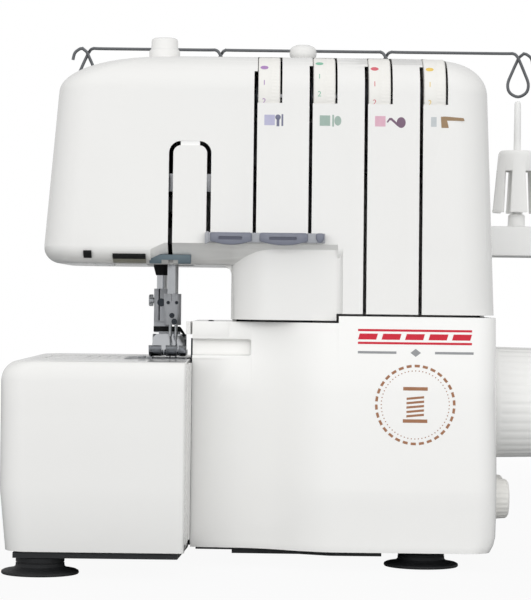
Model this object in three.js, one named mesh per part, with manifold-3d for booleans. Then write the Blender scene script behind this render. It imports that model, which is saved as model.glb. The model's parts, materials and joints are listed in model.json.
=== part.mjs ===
// A four-thread serger: a sewing head over a short throat, a column with four tension channels,
// a slide-off work table round the free arm, a hinged looper cover, and a spool stand behind.
// Millimetres. +X is the operator's right, +Y goes away from the operator, +Z is up.
// The origin is the centre of the footprint, on the surface that the rubber feet stand on.
import * as THREE from "three";
import { mergeVertices } from "three/addons/utils/BufferGeometryUtils.js";
import Module from "manifold-3d";

const wasm = await Module();
wasm.setup();

// ---- driving dimensions ----
const wall = 2.6;
const sliver = 0.02;
const floorPlate = { bottom: 10, top: 13 };
const lowPlate = { bottom: 8, top: 11, tray: 6 };
const coverGap = 1.3;
const casing = {
  left: -150.8, right: 113.3, front: -85, back: 72, taperStart: 145,
  lean: { left: 0.08, right: 0.036, front: 0.06, back: 0.05 },
  crown: { foot: 274, left: 55, right: 25, front: 28, back: 30 },
  belly: { top: 184, left: 9, right: 9, front: 20, back: 9 },
  top: 296, bottom: 174, corner: 22, split: -5,
};
const column = { left: -39, frontLeftCorner: 16, foot: 120, top: 205 };
const lowerBody = { left: -61.7, right: 115.7, front: -60.2, back: 72.6, bottom: 10.4, deck: 141, corner: 14 };
const scoop = { left: -78, right: 22, front: -79, top: 186.3 };
const coverTop = { left: 141.3, right: 145.3, stepX: 23 };
const tensionX = [-25.9, 5.8, 37.5, 69.2];
const slotWidth = 2;
const tensionAxis = { y: -54.5, z: 272 };
const dial = { radius: 23.2, width: 12.6, offset: 7.6, window: 24.1 };
const guideBar = { left: -53.5, right: 14.7, bottom: 186, top: 192.7, front: -93.5, back: -83.2 };
const takeUpSlot = { leftX: -74, rightX: -52.2, width: 2.5, top: 244.6, corner: 7 };
const table = { left: -165, right: -62.3, front: -135, back: 62, bottom: 13.8, top: 119, crease: 48 };
const arm = { left: -144, right: -62, front: -58, back: -6, floor: 76, top: 116.3 };
const needleBarAt = { x: -74, y: -32, radius: 3.3 };
const presserBarAt = { x: -81, y: -20, radius: 3 };
const mainShaftAt = { y: 0, z: 94, radius: 6 };
const motorAt = { y: 38, z: 52, radius: 24 };
const pulley = { x0: 96, x1: 104, large: 28, small: 9 };
const handwheel = { x0: 117.3, x1: 155, radius: 33.5 };
const hinge = { y: -71, z: 19, radius: 2 };
const stand = { centre: 3.5, halfLength: 161.5, front: 76, back: 135, bottom: 184, top: 203 };
const spoolX = [-140.1, -53.7, 53.7, 140.1].map((x) => x + stand.centre);
const spoolY = 106;
const pole = { bottom: 150, top: 296, wireZ: 316.2 };
const footRadius = 21.7;

// ---- solids ----
function solidOf(geometry) {
  const loose = geometry.index ? geometry.toNonIndexed() : geometry;
  const bare = new THREE.BufferGeometry();
  bare.setAttribute("position", loose.getAttribute("position").clone());
  const merged = mergeVertices(bare, 1e-3);
  const mesh = new wasm.Mesh({
    numProp: 3,
    vertProperties: merged.attributes.position.array,
    triVerts: new Uint32Array(merged.index.array),
  });
  return new wasm.Manifold(mesh);
}

// Slivers that a boolean leaves are closed up, because they can't become faces of a solid.
function geometryOf(solid) {
  const mesh = solid.asOriginal().simplify(sliver).getMesh();
  const geometry = new THREE.BufferGeometry();
  geometry.setAttribute("position", new THREE.BufferAttribute(mesh.vertProperties, mesh.numProp));
  geometry.setIndex(new THREE.BufferAttribute(mesh.triVerts, 1));
  geometry.computeVertexNormals();
  return geometry;
}

const join = (first, ...others) =>
  geometryOf(others.reduce((sum, other) => sum.add(solidOf(other)), solidOf(first)));
const cut = (first, ...tools) =>
  geometryOf(tools.reduce((rest, tool) => rest.subtract(solidOf(tool)), solidOf(first)));
const common = (first, second) => geometryOf(solidOf(first).intersect(solidOf(second)));

// A box between two corners.
function box(x0, x1, y0, y1, z0, z1) {
  const geometry = new THREE.BoxGeometry(x1 - x0, y1 - y0, z1 - z0);
  return geometry.translate((x0 + x1) / 2, (y0 + y1) / 2, (z0 + z1) / 2);
}

// A round bar along one axis, which from and to lie on. (a, b) is its place on the other two, in X, Y, Z order.
function rod(axis, radius, from, to, a, b, sides = 20, endRadius = radius) {
  const geometry = new THREE.CylinderGeometry(endRadius, radius, to - from, sides);
  const middle = (from + to) / 2;
  if (axis === "x") return geometry.rotateZ(-Math.PI / 2).translate(middle, a, b);
  if (axis === "y") return geometry.translate(a, middle, b);
  return geometry.rotateX(Math.PI / 2).translate(a, b, middle);
}

// A turned piece about +Z, from a profile of [radius, height] that closes on the axis or on itself.
function turned(profile, sides = 24) {
  const points = profile.map(([radius, height]) => new THREE.Vector2(radius, height));
  return new THREE.LatheGeometry(points, sides).rotateX(Math.PI / 2);
}

// A flat outline of [x, y] points made into a plate from z0 to z1.
function plate(outline, z0, z1) {
  const shape = new THREE.Shape(outline.map(([x, y]) => new THREE.Vector2(x, y)));
  return new THREE.ExtrudeGeometry(shape, { depth: z1 - z0, bevelEnabled: false }).translate(0, 0, z0);
}

// An outline of [x, z] points made into a slab from y0 to y1.
function slab(outline, y0, y1) {
  return plate(outline, -y1, -y0).rotateX(Math.PI / 2);
}

// An outline of [y, z] points made into a rib from x0 to x1.
function rib(outline, x0, x1) {
  return plate(outline, x0, x1).rotateX(Math.PI / 2).rotateZ(Math.PI / 2);
}

// Points of a rectangle with round corners, anticlockwise.
// Its radii are in the order front-left, front-right, back-right, back-left.
function roundedRectangle({ left, right, front, back }, radii, steps = 4) {
  const corners = [
    [left, front, 1, 1, Math.PI], [right, front, -1, 1, 1.5 * Math.PI],
    [right, back, -1, -1, 0], [left, back, 1, -1, 0.5 * Math.PI],
  ];
  return corners.flatMap(([x, y, inX, inY, start], corner) => {
    const radius = Math.max(0.2, Math.min(radii[corner], (right - left) / 2.02, (back - front) / 2.02));
    return Array.from({ length: steps + 1 }, (_, i) => {
      const angle = start + (i / steps) * (Math.PI / 2);
      return [x + inX * radius + radius * Math.cos(angle), y + inY * radius + radius * Math.sin(angle)];
    });
  });
}

// A skin through sections {z, points} of equal count, closed by flat caps.
function loft(sections) {
  const count = sections[0].points.length;
  const positions = sections.flatMap(({ z, points }) => points.flatMap(([x, y]) => [x, y, z]));
  const indices = [];
  for (let level = 0; level + 1 < sections.length; level += 1) {
    for (let i = 0; i < count; i += 1) {
      const a = level * count + i;
      const b = level * count + ((i + 1) % count);
      indices.push(a, b, b + count, a, b + count, a + count);
    }
  }
  const last = (sections.length - 1) * count;
  const capOf = ({ points }) => {
    const outline = points.map(([x, y]) => new THREE.Vector2(x, y));
    return THREE.ShapeUtils.triangulateShape(outline, []);
  };
  for (const [a, b, c] of capOf(sections[0])) indices.push(a, c, b);
  for (const [a, b, c] of capOf(sections.at(-1))) indices.push(last + a, last + b, last + c);
  const geometry = new THREE.BufferGeometry();
  geometry.setAttribute("position", new THREE.Float32BufferAttribute(positions, 3));
  geometry.setIndex(indices);
  return geometry;
}

// ---- materials ----
const white = new THREE.MeshStandardMaterial({ color: 0xececea, roughness: 0.32, metalness: 0 });
const paleGrey = new THREE.MeshStandardMaterial({ color: 0xdcdcda, roughness: 0.4, metalness: 0 });
const dialGrey = new THREE.MeshStandardMaterial({ color: 0xe0dfdc, roughness: 0.45, metalness: 0 });
const smoke = new THREE.MeshStandardMaterial({ color: 0x8a8d98, roughness: 0.25, metalness: 0 });
const rubber = new THREE.MeshStandardMaterial({ color: 0x1c1d20, roughness: 0.75, metalness: 0 });
const darkPlastic = new THREE.MeshStandardMaterial({ color: 0x26272a, roughness: 0.5, metalness: 0 });
const steel = new THREE.MeshStandardMaterial({ color: 0xb9bcc0, roughness: 0.22, metalness: 1 });
const darkSteel = new THREE.MeshStandardMaterial({ color: 0x5c6066, roughness: 0.4, metalness: 1 });
const castAlloy = new THREE.MeshStandardMaterial({ color: 0x9a9c9e, roughness: 0.55, metalness: 1 });
const lensMaterial = new THREE.MeshStandardMaterial({ color: 0xf4f6f8, roughness: 0.15, metalness: 0 });

const serger = new THREE.Group();

// Adds a named piece to a group, at a place of its own when it is built about its own origin.
function piece(name, geometry, material, place = [0, 0, 0], group = serger) {
  const mesh = new THREE.Mesh(geometry, material);
  mesh.name = name;
  mesh.position.set(...place);
  group.add(mesh);
  return mesh;
}

// ---- casing shape ----
// The casing's four faces at a height. pinch is 0 on the flat faces and 1 at the crown's or the belly's edge.
function casingFaces(z, inset, pinch, round) {
  const rise = Math.max(0, z - casing.taperStart);
  return {
    left: casing.left + casing.lean.left * rise + pinch * round.left + inset,
    right: casing.right - casing.lean.right * rise - pinch * round.right - inset,
    front: casing.front + casing.lean.front * rise + pinch * round.front + inset,
    back: casing.back - casing.lean.back * rise - pinch * round.back - inset,
  };
}

function headBody(inset) {
  const radii = Array(4).fill(casing.corner - inset);
  const bottom = casing.bottom + inset;
  const top = casing.top - inset;
  const sections = [0, 30, 60, 90].map((degrees) => {
    const angle = THREE.MathUtils.degToRad(degrees);
    const z = bottom + (casing.belly.top - bottom) * (1 - Math.cos(angle));
    return { z, points: roundedRectangle(casingFaces(z, inset, 1 - Math.sin(angle), casing.belly), radii) };
  });
  for (const degrees of [0, 22, 44, 66, 90]) {
    const angle = THREE.MathUtils.degToRad(degrees);
    const z = casing.crown.foot + (top - casing.crown.foot) * Math.sin(angle);
    const faces = casingFaces(z, inset, 1 - Math.cos(angle), casing.crown);
    sections.push({ z, points: roundedRectangle(faces, radii) });
  }
  return loft(sections);
}

function columnBody(inset, foot = column.foot) {
  const radii = [column.frontLeftCorner, casing.corner, casing.corner, casing.corner].map((r) => r - inset);
  const none = { left: 0, right: 0, front: 0, back: 0 };
  return loft([foot, casing.taperStart, column.top].map((z) => {
    const faces = { ...casingFaces(z, inset, 0, none), left: column.left + inset };
    return { z, points: roundedRectangle(faces, radii) };
  }));
}

function lowerShell(inset) {
  const { left, front, back, corner, bottom, deck } = lowerBody;
  const radii = [0.4, 0.4, corner - inset, corner - inset];
  const frontFace = inset ? front - 20 : front;
  const { right: widest } = lowerBody;
  const rightAt = [[bottom, widest - 3.5], [21.8, widest], [54, widest], [deck, widest - 1.7]];
  return loft(rightAt.map(([z, right], level) => {
    const tuck = level === 0 ? 3 : 0;
    const faces = { left: left + inset, right: right - inset, front: frontFace, back: back - inset - tuck };
    const height = level === 0 && inset ? 0 : z - (level === 3 ? inset : 0);
    return { z: height, points: roundedRectangle(faces, radii) };
  }));
}

const throughX = [-400, 400];
const columnScoop = (grow) =>
  box(-80, scoop.right + grow, -120, scoop.front + grow, 90, scoop.top + grow);
const headScoop = (grow) => rib([
  [-120, 90], [-60 + grow, 90], [-60 + grow, casing.bottom - 1 + grow], [scoop.front + grow, 182.6 + grow],
  [-82.8 + grow, scoop.top + grow], [-120, scoop.top + grow],
], scoop.left - grow, scoop.right + grow);

// ---- upper casing: a front and a rear shell that meet at the split plane ----
function slotCutters() {
  const half = slotWidth / 2;
  return tensionX.map((x, i) => {
    const bottom = i < 2 ? guideBar.bottom + 1.5 : 100;
    return box(x - half, x + half, -100, -62, bottom, casing.top - 6);
  });
}

function dialWindows() {
  const half = slotWidth / 2;
  return tensionX.map((x) => {
    const right = x + dial.offset + dial.width / 2 + 1.5;
    return rod("x", dial.window, x - half, right, tensionAxis.y, tensionAxis.z, 40);
  });
}

// The needle threads' channel: an upside-down U cut through the head's front.
function takeUpCutter() {
  const half = takeUpSlot.width / 2;
  const arch = (grow) => {
    const left = takeUpSlot.leftX - grow;
    const right = takeUpSlot.rightX + grow;
    const top = takeUpSlot.top - half + grow;
    const radius = takeUpSlot.corner - half + grow;
    const shape = new THREE.Shape();
    shape.moveTo(left, 100);
    shape.lineTo(right, 100);
    shape.lineTo(right, top - radius);
    shape.absarc(right - radius, top - radius, radius, 0, Math.PI / 2, false);
    shape.absarc(left + radius, top - radius, radius, Math.PI / 2, Math.PI, false);
    return slab(shape.getPoints(4).map((p) => [p.x, p.y]), -100, -62);
  };
  const channel = cut(arch(half), arch(-half));
  const rightLegEnd = box(takeUpSlot.rightX - 3, takeUpSlot.rightX + 3, -110, -60, 90, guideBar.bottom + 1.5);
  return cut(channel, rightLegEnd);
}

function frontCasing() {
  const upper = (inset, foot) =>
    join(cut(headBody(inset), headScoop(inset)), cut(columnBody(inset, foot), columnScoop(inset)));
  const outer = upper(0, coverTop.left + coverGap);
  const hollow = upper(wall, 100);
  const shell = cut(
    outer, hollow,
    box(...throughX, casing.split, 200, 0, 400),
    box(coverTop.stepX - coverGap, 400, -200, 200, 0, coverTop.right + coverGap),
    ...slotCutters(), ...dialWindows(), takeUpCutter(),
    box(-89.5, -61.5, -46, 0, 160, 186),
    box(-120, -106, -58, -45, 160, 186),
    box(-102.5, -91, -56, -47, 160, 186),
  );
  return cut(shell, rod("z", 7, 250, 320, presserBarAt.x, presserBarAt.y, 20));
}
piece("front_casing", frontCasing(), white);

function rearCasing() {
  const outer = join(headBody(0), columnBody(0), lowerShell(0));
  const hollow = join(headBody(wall), columnBody(wall, 100), lowerShell(wall));
  const behindSplit = box(...throughX, casing.split + 0.3, 200, 0, 400);
  const belowCover = box(...throughX, lowerBody.front, 100, 0, lowerBody.deck + 0.2);
  const rightShoulder = box(60, 400, lowerBody.front, 100, 0, coverTop.right);
  const shell = cut(common(outer, join(behindSplit, belowCover, rightShoulder)), hollow);
  const nose = cut(box(-65, -60, -59, -45.3, 133.5, lowerBody.deck), box(-62.4, -50, -70, -51.3, 100, 160));
  return cut(
    join(cut(shell, box(-75, -32, -80, -51.3, 0, 160)), nose),
    box(-75, -55, -47, 59, 0, 20.5),
    box(-75, -55, -80, 8, 70, 133.5),
    box(-61.6, -55, -44.8, 8, 130, 138.4),
    box(-75, -55, -44.8, -30, 70, 160),
    box(-87, -74, 28, 100, 150, 192),
    rod("x", 9, 100, 130, mainShaftAt.y, mainShaftAt.z, 24),
    rod("x", 9.6, 100, 130, -30, 38, 24),
    rod("x", 9.6, 100, 130, 4, 38, 24),
    box(100, 130, 32.4, 43.6, 27.2, 44.8),
    box(100, 130, 48.6, 65.4, 27.4, 44.6),
    rod("z", 7, 250, 320, presserBarAt.x, presserBarAt.y, 20),
  );
}
piece("rear_casing", rearCasing(), white);

// ---- looper cover: a bent front panel with a finger recess, on a hinge rod near its foot ----
function coverSkin() {
  const path = new THREE.Path();
  path.moveTo(-61.2, -58);
  path.lineTo(-34, -60);
  path.bezierCurveTo(-8, -62, -2, -85, 26, -85);
  path.lineTo(101, -85);
  path.bezierCurveTo(109, -85, 115.4, -79, 115.4, -70);
  path.lineTo(115.4, -60.8);
  const outer = path.getPoints(9).filter((p, i, all) => i === 0 || p.distanceTo(all[i - 1]) > 0.01);
  const inner = outer.map((point, i) => {
    const before = outer[Math.max(0, i - 1)];
    const after = outer[Math.min(outer.length - 1, i + 1)];
    const along = after.clone().sub(before).normalize();
    return new THREE.Vector2(point.x - along.y * wall, point.y + along.x * wall);
  });
  const outline = [...outer, ...inner.reverse()].map((p) => [p.x, p.y]);
  const shifts = [[10, 5, -3.5], [21, 4, 0], [46, 0, 0], [coverTop.right, 0, -1.6]];
  const share = (value, from, to) => THREE.MathUtils.clamp((value - from) / (to - from), 0, 1);
  return loft(shifts.map(([z, back, right]) => {
    const points = outline.map(([x, y]) => [x + right * share(x, 90, 115.4), y + back * share(y, -62, -82)]);
    return { z, points };
  }));
}

function looperCover() {
  const knuckles = [30, 72].map((x) => box(x, x + 8, hinge.y - 8.5, hinge.y + 3.5, 15.5, 22.5));
  const skin = join(
    coverSkin(),
    box(-61.2, -24, -59.6, -48, 119.5, 133.2),
    box(-61.2, -40, -60, -52.5, 133, coverTop.left),
    ...knuckles,
  );
  return cut(
    skin,
    box(-58.6, -27, -80, -51, 121.5, 131.2),
    box(-80, coverTop.stepX, -100, -20, coverTop.left, 160),
    rod("x", hinge.radius + 0.2, 0, 110, hinge.y, hinge.z, 16),
    box(100, 120, -64.5, -50, 0, 16.2),
  );
}
piece("looper_cover", looperCover(), white);
piece("cover_hinge_rod", rod("x", hinge.radius, 18, 97, hinge.y, hinge.z, 12), steel);

// ---- base plate and rubber feet ----
function basePlate() {
  const underTable = [
    [-157, -128], [-66, -128], [-62.4, -60], [-62.4, -46.6], [-50, -46.6],
    [-50, 58.6], [-62.4, 58.6], [-62.4, 60], [-157, 60],
  ];
  const underBody = [[-58.2, -50], [2, -52], [20, -61], [104, -61], [104, 59], [-58.2, 59]];
  const underTray = [[-37, -52], [2, -53], [20, -61], [50, -61], [50, 50], [-37, 50]];
  const earOutline = [
    [-55, 9], [-60.5, 11], [-63.5, 14.4], [-71, 15.6], [-73.6, 17.4], [-74, 19], [-72.5, 22], [-69, 22.5], [-56, 11],
  ];
  const ears = [20.5, 88].map((x) => rib(earOutline, x, x + 3));
  const body = join(
    plate(underTable, floorPlate.bottom, floorPlate.top),
    plate(underBody, lowPlate.bottom, lowPlate.top),
    plate(underTray, lowPlate.tray, lowPlate.top),
    ...ears,
  );
  return cut(body, rod("x", hinge.radius + 0.2, 0, 110, hinge.y, hinge.z, 12));
}
piece("base_plate", basePlate(), darkPlastic);

const suctionFoot = (top) => turned([
  [0, 0], [footRadius - 0.6, 0], [footRadius, 0.5], [footRadius, 1.8], [13.2, 5.2], [13.2, top], [0, top],
], 20);
const tallFoot = suctionFoot(floorPlate.bottom - 0.2);
const lowFoot = suctionFoot(lowPlate.bottom - 0.2);
piece("foot_front_left", tallFoot, rubber, [-143, -113.3, 0]);
piece("foot_front_right", lowFoot, rubber, [73.5, -53, 0]);
piece("foot_rear_left", tallFoot, rubber, [-143, 36, 0]);
piece("foot_rear_right", lowFoot, rubber, [80, 36, 0]);

// ---- work table: a cover that slides off the free arm to the left ----
function tableBody(inset) {
  const { left, right, front, back, bottom, top, crease } = table;
  const crown = { left: 10, front: 6, back: 6, height: 11 };
  const radii = [14, 2, 2, 14].map((r) => Math.max(0.3, r - inset));
  const at = (z, pinch, tuck) => {
    const faces = {
      left: left + inset + pinch * crown.left + tuck,
      right: inset ? right + 20 : right,
      front: front + inset + pinch * crown.front + tuck,
      back: back - inset - pinch * crown.back - tuck,
    };
    return { z, points: roundedRectangle(faces, radii) };
  };
  const topZ = top - inset;
  const crownFoot = top - crown.height;
  const arcs = [0, 30, 60, 90].map((degrees) => {
    const angle = THREE.MathUtils.degToRad(degrees);
    return at(crownFoot + (topZ - crownFoot) * Math.sin(angle), 1 - Math.cos(angle), 0);
  });
  return loft([at(inset ? 0 : bottom, 0, 3), at(crease, 0, 0), ...arcs]);
}
const tableNotch = box(arm.left - 3, 0, arm.front - 1, arm.back + 1, 100, 130);
const tableEndWall = common(tableBody(0), box(table.right - wall, table.right + 1, -200, arm.front - 3.5, 0, 200));
piece("work_table", join(cut(tableBody(0), tableBody(wall), tableNotch), tableEndWall), white);

// ---- free arm, needle plate and cutting ----
const armPlate = cut(
  box(arm.left - 2, -101.4, arm.front, arm.back, arm.top + 0.2, table.top),
  rod("z", 2, 100, 130, -140, -52, 12),
);
piece("arm_plate", armPlate, white);
const needlePlate = cut(
  box(-101, -64.6, arm.front, arm.back, arm.top + 0.2, table.top + 0.2),
  box(-93.8, -89.2, -49, -14, 100, 130),
  box(-88.3, -84.7, -49, -14, 100, 130),
  box(-77, -71, -35, -29, 100, 130),
  rod("z", 1.6, 100, 130, -97.5, -53, 12),
);
piece("needle_plate", needlePlate, steel);
piece("lower_knife", box(-64.3, -62.8, -46, -36, 98, table.top), darkSteel);
const upperKnife = join(
  box(-62.5, -60.9, -43, -35, 112, 131),
  box(-62.5, -52, -43, -35, 110, 114),
  box(-57, -52, -43, -35, 52, 114),
);
piece("upper_knife", upperKnife, darkSteel);
const feedDog = join(
  box(-93.2, -89.8, -45.5, -20, 106, 120),
  box(-87.7, -85.3, -45.5, -20, 106, 120),
  box(-94, -85, -45.5, -20, 98, 107),
);
piece("feed_dog", feedDog, steel);

// ---- main frame: an alloy casting with the bearings and the bar guides ----
function mainFrame() {
  const guides = [187, 205].map((z) => box(-88.5, -67, -41, -6, z, z + 9));
  const body = join(
    box(-140, -58, -46, 52, 14, 20),
    box(-60, 104, -46, 58, 14, 20),
    box(-28, 10, 20, 58, 18, 262),
    box(-100, 10, 2, 24, 225, 262),
    box(-88.5, -64, -8, 4, 184, 262),
    ...guides,
    box(arm.left, arm.right, arm.front, arm.back, arm.floor, arm.floor + 4),
    box(arm.left, -50, arm.back - 5, arm.back, arm.floor, arm.top),
    box(arm.left, arm.left + 4, arm.front, arm.back, arm.floor, arm.top),
    box(-58, -50, -13, 12, 16, arm.floor + 4),
    box(-58, -50, -10, 12, 16, 108),
    box(-56, -20, 16, 44, 18, 90),
    box(-58, -50, 8, 30, 18, 90),
    box(84, 92, -10, 10, 16, 108),
    box(6, 76, 26, 50, 16, 27),
    box(-37, 10, -50, 24, 232, 240),
    box(-37, -34.4, -60, -40, 232, 279),
    box(90, 94, -60, -40, 232, 279),
    box(0, 94, 18, 30, 232, 244),
    box(90, 94, -44, 30, 232, 244),
  );
  return cut(
    body,
    rod("z", needleBarAt.radius + 0.15, 150, 262.5, needleBarAt.x, needleBarAt.y, 20),
    rod("z", presserBarAt.radius + 0.15, 150, 262.5, presserBarAt.x, presserBarAt.y, 20),
    rod("x", mainShaftAt.radius + 0.2, -70, 110, mainShaftAt.y, mainShaftAt.z, 24),
    rod("x", 2.6, -40, 100, tensionAxis.y, tensionAxis.z, 16),
  );
}
piece("main_frame", mainFrame(), castAlloy);

const barGuide = cut(
  box(-88.5, -62.5, -45, -7, 171.8, 175.6),
  box(-81, -67, -42, -25.6, 160, 180),
  rod("z", presserBarAt.radius + 0.3, 160, 180, presserBarAt.x, presserBarAt.y, 20),
);
piece("lower_bar_guide", barGuide, darkSteel);
piece("lamp_lens", box(-119, -107, -57, -46, 172.8, 180), lensMaterial);

// ---- main shaft, handwheel, belt drive ----
function pulleyWheel(radius, sides) {
  const half = (pulley.x1 - pulley.x0) / 2;
  const rim = radius + 2.4;
  return turned([
    [0, -half], [rim, -half], [radius, -half + 1.1], [radius, half - 1.1], [rim, half], [0, half],
  ], sides).rotateY(Math.PI / 2);
}
const pulleyX = (pulley.x0 + pulley.x1) / 2;
const crankDisc = (x) => rod("x", 14, x, x + 7, 0, 0, 20);
const mainShaft = join(
  rod("x", mainShaftAt.radius, -62, 116.4, 0, 0, 20),
  crankDisc(-46), crankDisc(24), crankDisc(60),
  pulleyWheel(pulley.large, 28).translate(pulleyX, 0, 0),
);
piece("main_shaft", mainShaft, steel, [0, mainShaftAt.y, mainShaftAt.z]);
const motorRotor = join(pulleyWheel(pulley.small, 20), rod("x", 3, -20, 0, 0, 0, 12));
piece("motor_pulley", motorRotor, darkPlastic, [pulleyX, motorAt.y, motorAt.z]);

// A belt round both pulleys, offset outwards from them.
function driveBelt() {
  const apart = Math.hypot(motorAt.y - mainShaftAt.y, motorAt.z - mainShaftAt.z);
  const heading = Math.atan2(motorAt.z - mainShaftAt.z, motorAt.y - mainShaftAt.y);
  const lean = Math.acos((pulley.large - pulley.small) / apart);
  const loop = (offset) => {
    const arc = (centre, radius, from, to) => Array.from({ length: 13 }, (_, i) => {
      const angle = from + ((to - from) * i) / 12;
      return [centre.y + (radius + offset) * Math.cos(angle), centre.z + (radius + offset) * Math.sin(angle)];
    });
    return [
      ...arc(motorAt, pulley.small, heading - lean, heading + lean),
      ...arc(mainShaftAt, pulley.large, heading + lean, heading + 2 * Math.PI - lean),
    ];
  };
  const half = (pulley.x1 - pulley.x0) / 2 - 1.6;
  return cut(
    rib(loop(2.3), pulleyX - half, pulleyX + half),
    rib(loop(0.7), pulleyX - half - 1, pulleyX + half + 1),
  );
}
piece("drive_belt", driveBelt(), rubber);

const motorBody = join(
  rod("x", motorAt.radius, 12, 74, motorAt.y, motorAt.z, 28),
  rod("x", 9, 74, 79, motorAt.y, motorAt.z, 20),
);
const motorBore = rod("x", 3.3, 70, 90, motorAt.y, motorAt.z, 16);
piece("motor", cut(motorBody, motorBore, box(0, 80, 20, 60, 0, 28)), darkSteel);

const wheelLength = handwheel.x1 - handwheel.x0;
const wheelProfile = [
  [0, -2], [8, -2], [8, 0], [handwheel.radius - 1, 0], [handwheel.radius, 1.2],
  [handwheel.radius - 0.9, wheelLength - 5], [handwheel.radius - 5, wheelLength],
  [handwheel.radius - 8.5, wheelLength - 0.8], [handwheel.radius - 11, wheelLength - 5], [0, wheelLength - 5],
];
const handwheelBody = cut(
  turned(wheelProfile, 36).rotateY(Math.PI / 2),
  rod("x", mainShaftAt.radius + 0.1, -10, 1, 0, 0, 20),
);
piece("handwheel", handwheelBody, paleGrey, [handwheel.x0, mainShaftAt.y, mainShaftAt.z]);

// ---- needle bar group ----
const needleBar = rod("z", needleBarAt.radius, 146, 262, needleBarAt.x, needleBarAt.y, 20);
piece("needle_bar", needleBar, steel);
const needleClamp = cut(
  join(
    box(-80, -68, -38, -26.4, 138.6, 159),
    rod("y", 1.6, -40.5, -38, -73.5, 143, 10),
    rod("y", 1.6, -40.5, -38, -71, 149, 10),
  ),
  rod("z", needleBarAt.radius + 0.1, 145.5, 170, needleBarAt.x, needleBarAt.y, 20),
  rod("z", 1.2, 130, 144.6, -75.2, needleBarAt.y, 10),
  rod("z", 1.2, 130, 144.6, -71.8, needleBarAt.y, 10),
);
piece("needle_clamp", needleClamp, steel);
const needle = turned([[0, 0], [0.5, 5], [0.5, 22], [1.05, 24], [1.05, 36], [0, 36]], 6);
piece("needle_left", needle, steel, [-75.2, needleBarAt.y, 108.4]);
piece("needle_right", needle, steel, [-71.8, needleBarAt.y, 108.4]);

const takeUpLever = join(
  box(-79, -47, -76.4, -73.4, 215.5, 226),
  box(-63, -58, -75, -12, 217.5, 224.5),
  rod("x", 6, -63.2, -57.8, -12, 221, 16),
);
piece("take_up_lever", takeUpLever, steel);

// ---- loopers, in the bay behind the looper cover ----
function hook(points, radius, hub, y0, y1) {
  const outline = new THREE.SplineCurve(points.map(([x, z]) => new THREE.Vector2(x, z))).getPoints(14);
  const width = (i) => radius * (1 - (0.8 * i) / 14);
  const side = (sign) => outline.map((point, i) => {
    const before = outline[Math.max(0, i - 1)];
    const after = outline[Math.min(14, i + 1)];
    const along = after.clone().sub(before).normalize();
    return [point.x - sign * along.y * width(i), point.y + sign * along.x * width(i)];
  });
  const blade = slab([...side(1), ...side(-1).reverse()], y0, y1);
  return join(blade, rod("y", 6, y0 - 2, y1 + 2, hub[0], hub[1], 16));
}
const lowerLooperHub = [-48, 86];
const upperLooperHub = [-40, 62];
const lowerLooper = hook([[-48, 86], [-58, 92], [-70, 92], [-82, 99]], 3.6, lowerLooperHub, -29, -26);
const upperLooper = hook([[-40, 62], [-47, 78], [-46, 95], [-58, 109]], 3.6, upperLooperHub, -20.8, -17.8);
piece("lower_looper", lowerLooper, steel);
piece("upper_looper", upperLooper, steel);

// ---- presser bar, foot, spring, lifter and pressure screw ----
const presserBar = join(
  rod("z", presserBarAt.radius, 138, 260, presserBarAt.x, presserBarAt.y, 20),
  rod("z", 6.2, 215.5, 218.5, presserBarAt.x, presserBarAt.y, 20),
);
piece("presser_bar", presserBar, steel);
const presserAnkle = cut(
  join(
    box(-87, -76, -25.8, -14, 134, 160),
    box(-82.2, -69.8, -25.8, -14, 125.6, 137),
    rod("x", 3.6, -91.5, -87, -20, 154.5, 14),
  ),
  rod("z", presserBarAt.radius + 0.1, 137.8, 170, presserBarAt.x, presserBarAt.y, 20),
  rod("x", 1.7, -90, -60, -20, 129, 12),
);
piece("presser_ankle", presserAnkle, steel);
const footSole = cut(
  box(-87, -65.4, -52, -12, 120.4, 123.8),
  box(-78.5, -68.5, -36, -28, 110, 130),
  box(-79.5, -77, -60, -34, 110, 130),
);
const presserFoot = join(
  footSole,
  box(-86, -82.6, -25, -14.6, 123, 133),
  box(-69.4, -66, -25, -14.6, 123, 133),
  rod("x", 1.4, -84, -68, -20, 129, 12),
);
piece("presser_foot", presserFoot, steel);

class Coil extends THREE.Curve {
  constructor(radius, from, to, turns) {
    super();
    Object.assign(this, { radius, from, to, turns });
  }

  getPoint(t, target = new THREE.Vector3()) {
    const angle = 2 * Math.PI * this.turns * t;
    const z = this.from + (this.to - this.from) * t;
    return target.set(this.radius * Math.cos(angle), this.radius * Math.sin(angle), z);
  }
}

const circleShape = (radius, sides) => new THREE.Shape(Array.from({ length: sides }, (_, i) => {
  const angle = (2 * Math.PI * i) / sides;
  return new THREE.Vector2(radius * Math.cos(angle), radius * Math.sin(angle));
}));

function sweep(curve, radius, sides, steps) {
  const settings = { steps, bevelEnabled: false, extrudePath: curve };
  return new THREE.ExtrudeGeometry(circleShape(radius, sides), settings);
}
const spring = sweep(new Coil(4.9, 219.8, 258.5, 5), 0.8, 5, 50);
piece("presser_spring", spring, steel, [presserBarAt.x, presserBarAt.y, 0]);

const knobProfile = [
  [0, -25], [5.4, -25], [5.4, 0], [9, 0.3], [9.2, 5.5], [8.2, 7.2], [7.8, 11], [6, 12.6], [0, 13.2],
];
piece("pressure_knob", turned(knobProfile, 24), white, [presserBarAt.x, presserBarAt.y, 296.6]);

const lifterOutline = [[36, 187], [44, 187], [68, 158], [66, 152], [60, 152], [36, 178]];
const presserLifter = join(
  rib(lifterOutline, -83.5, -77.5),
  rod("x", 6, -84.5, -76.5, 40, 182, 16),
);
piece("presser_lifter", presserLifter, paleGrey);

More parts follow.
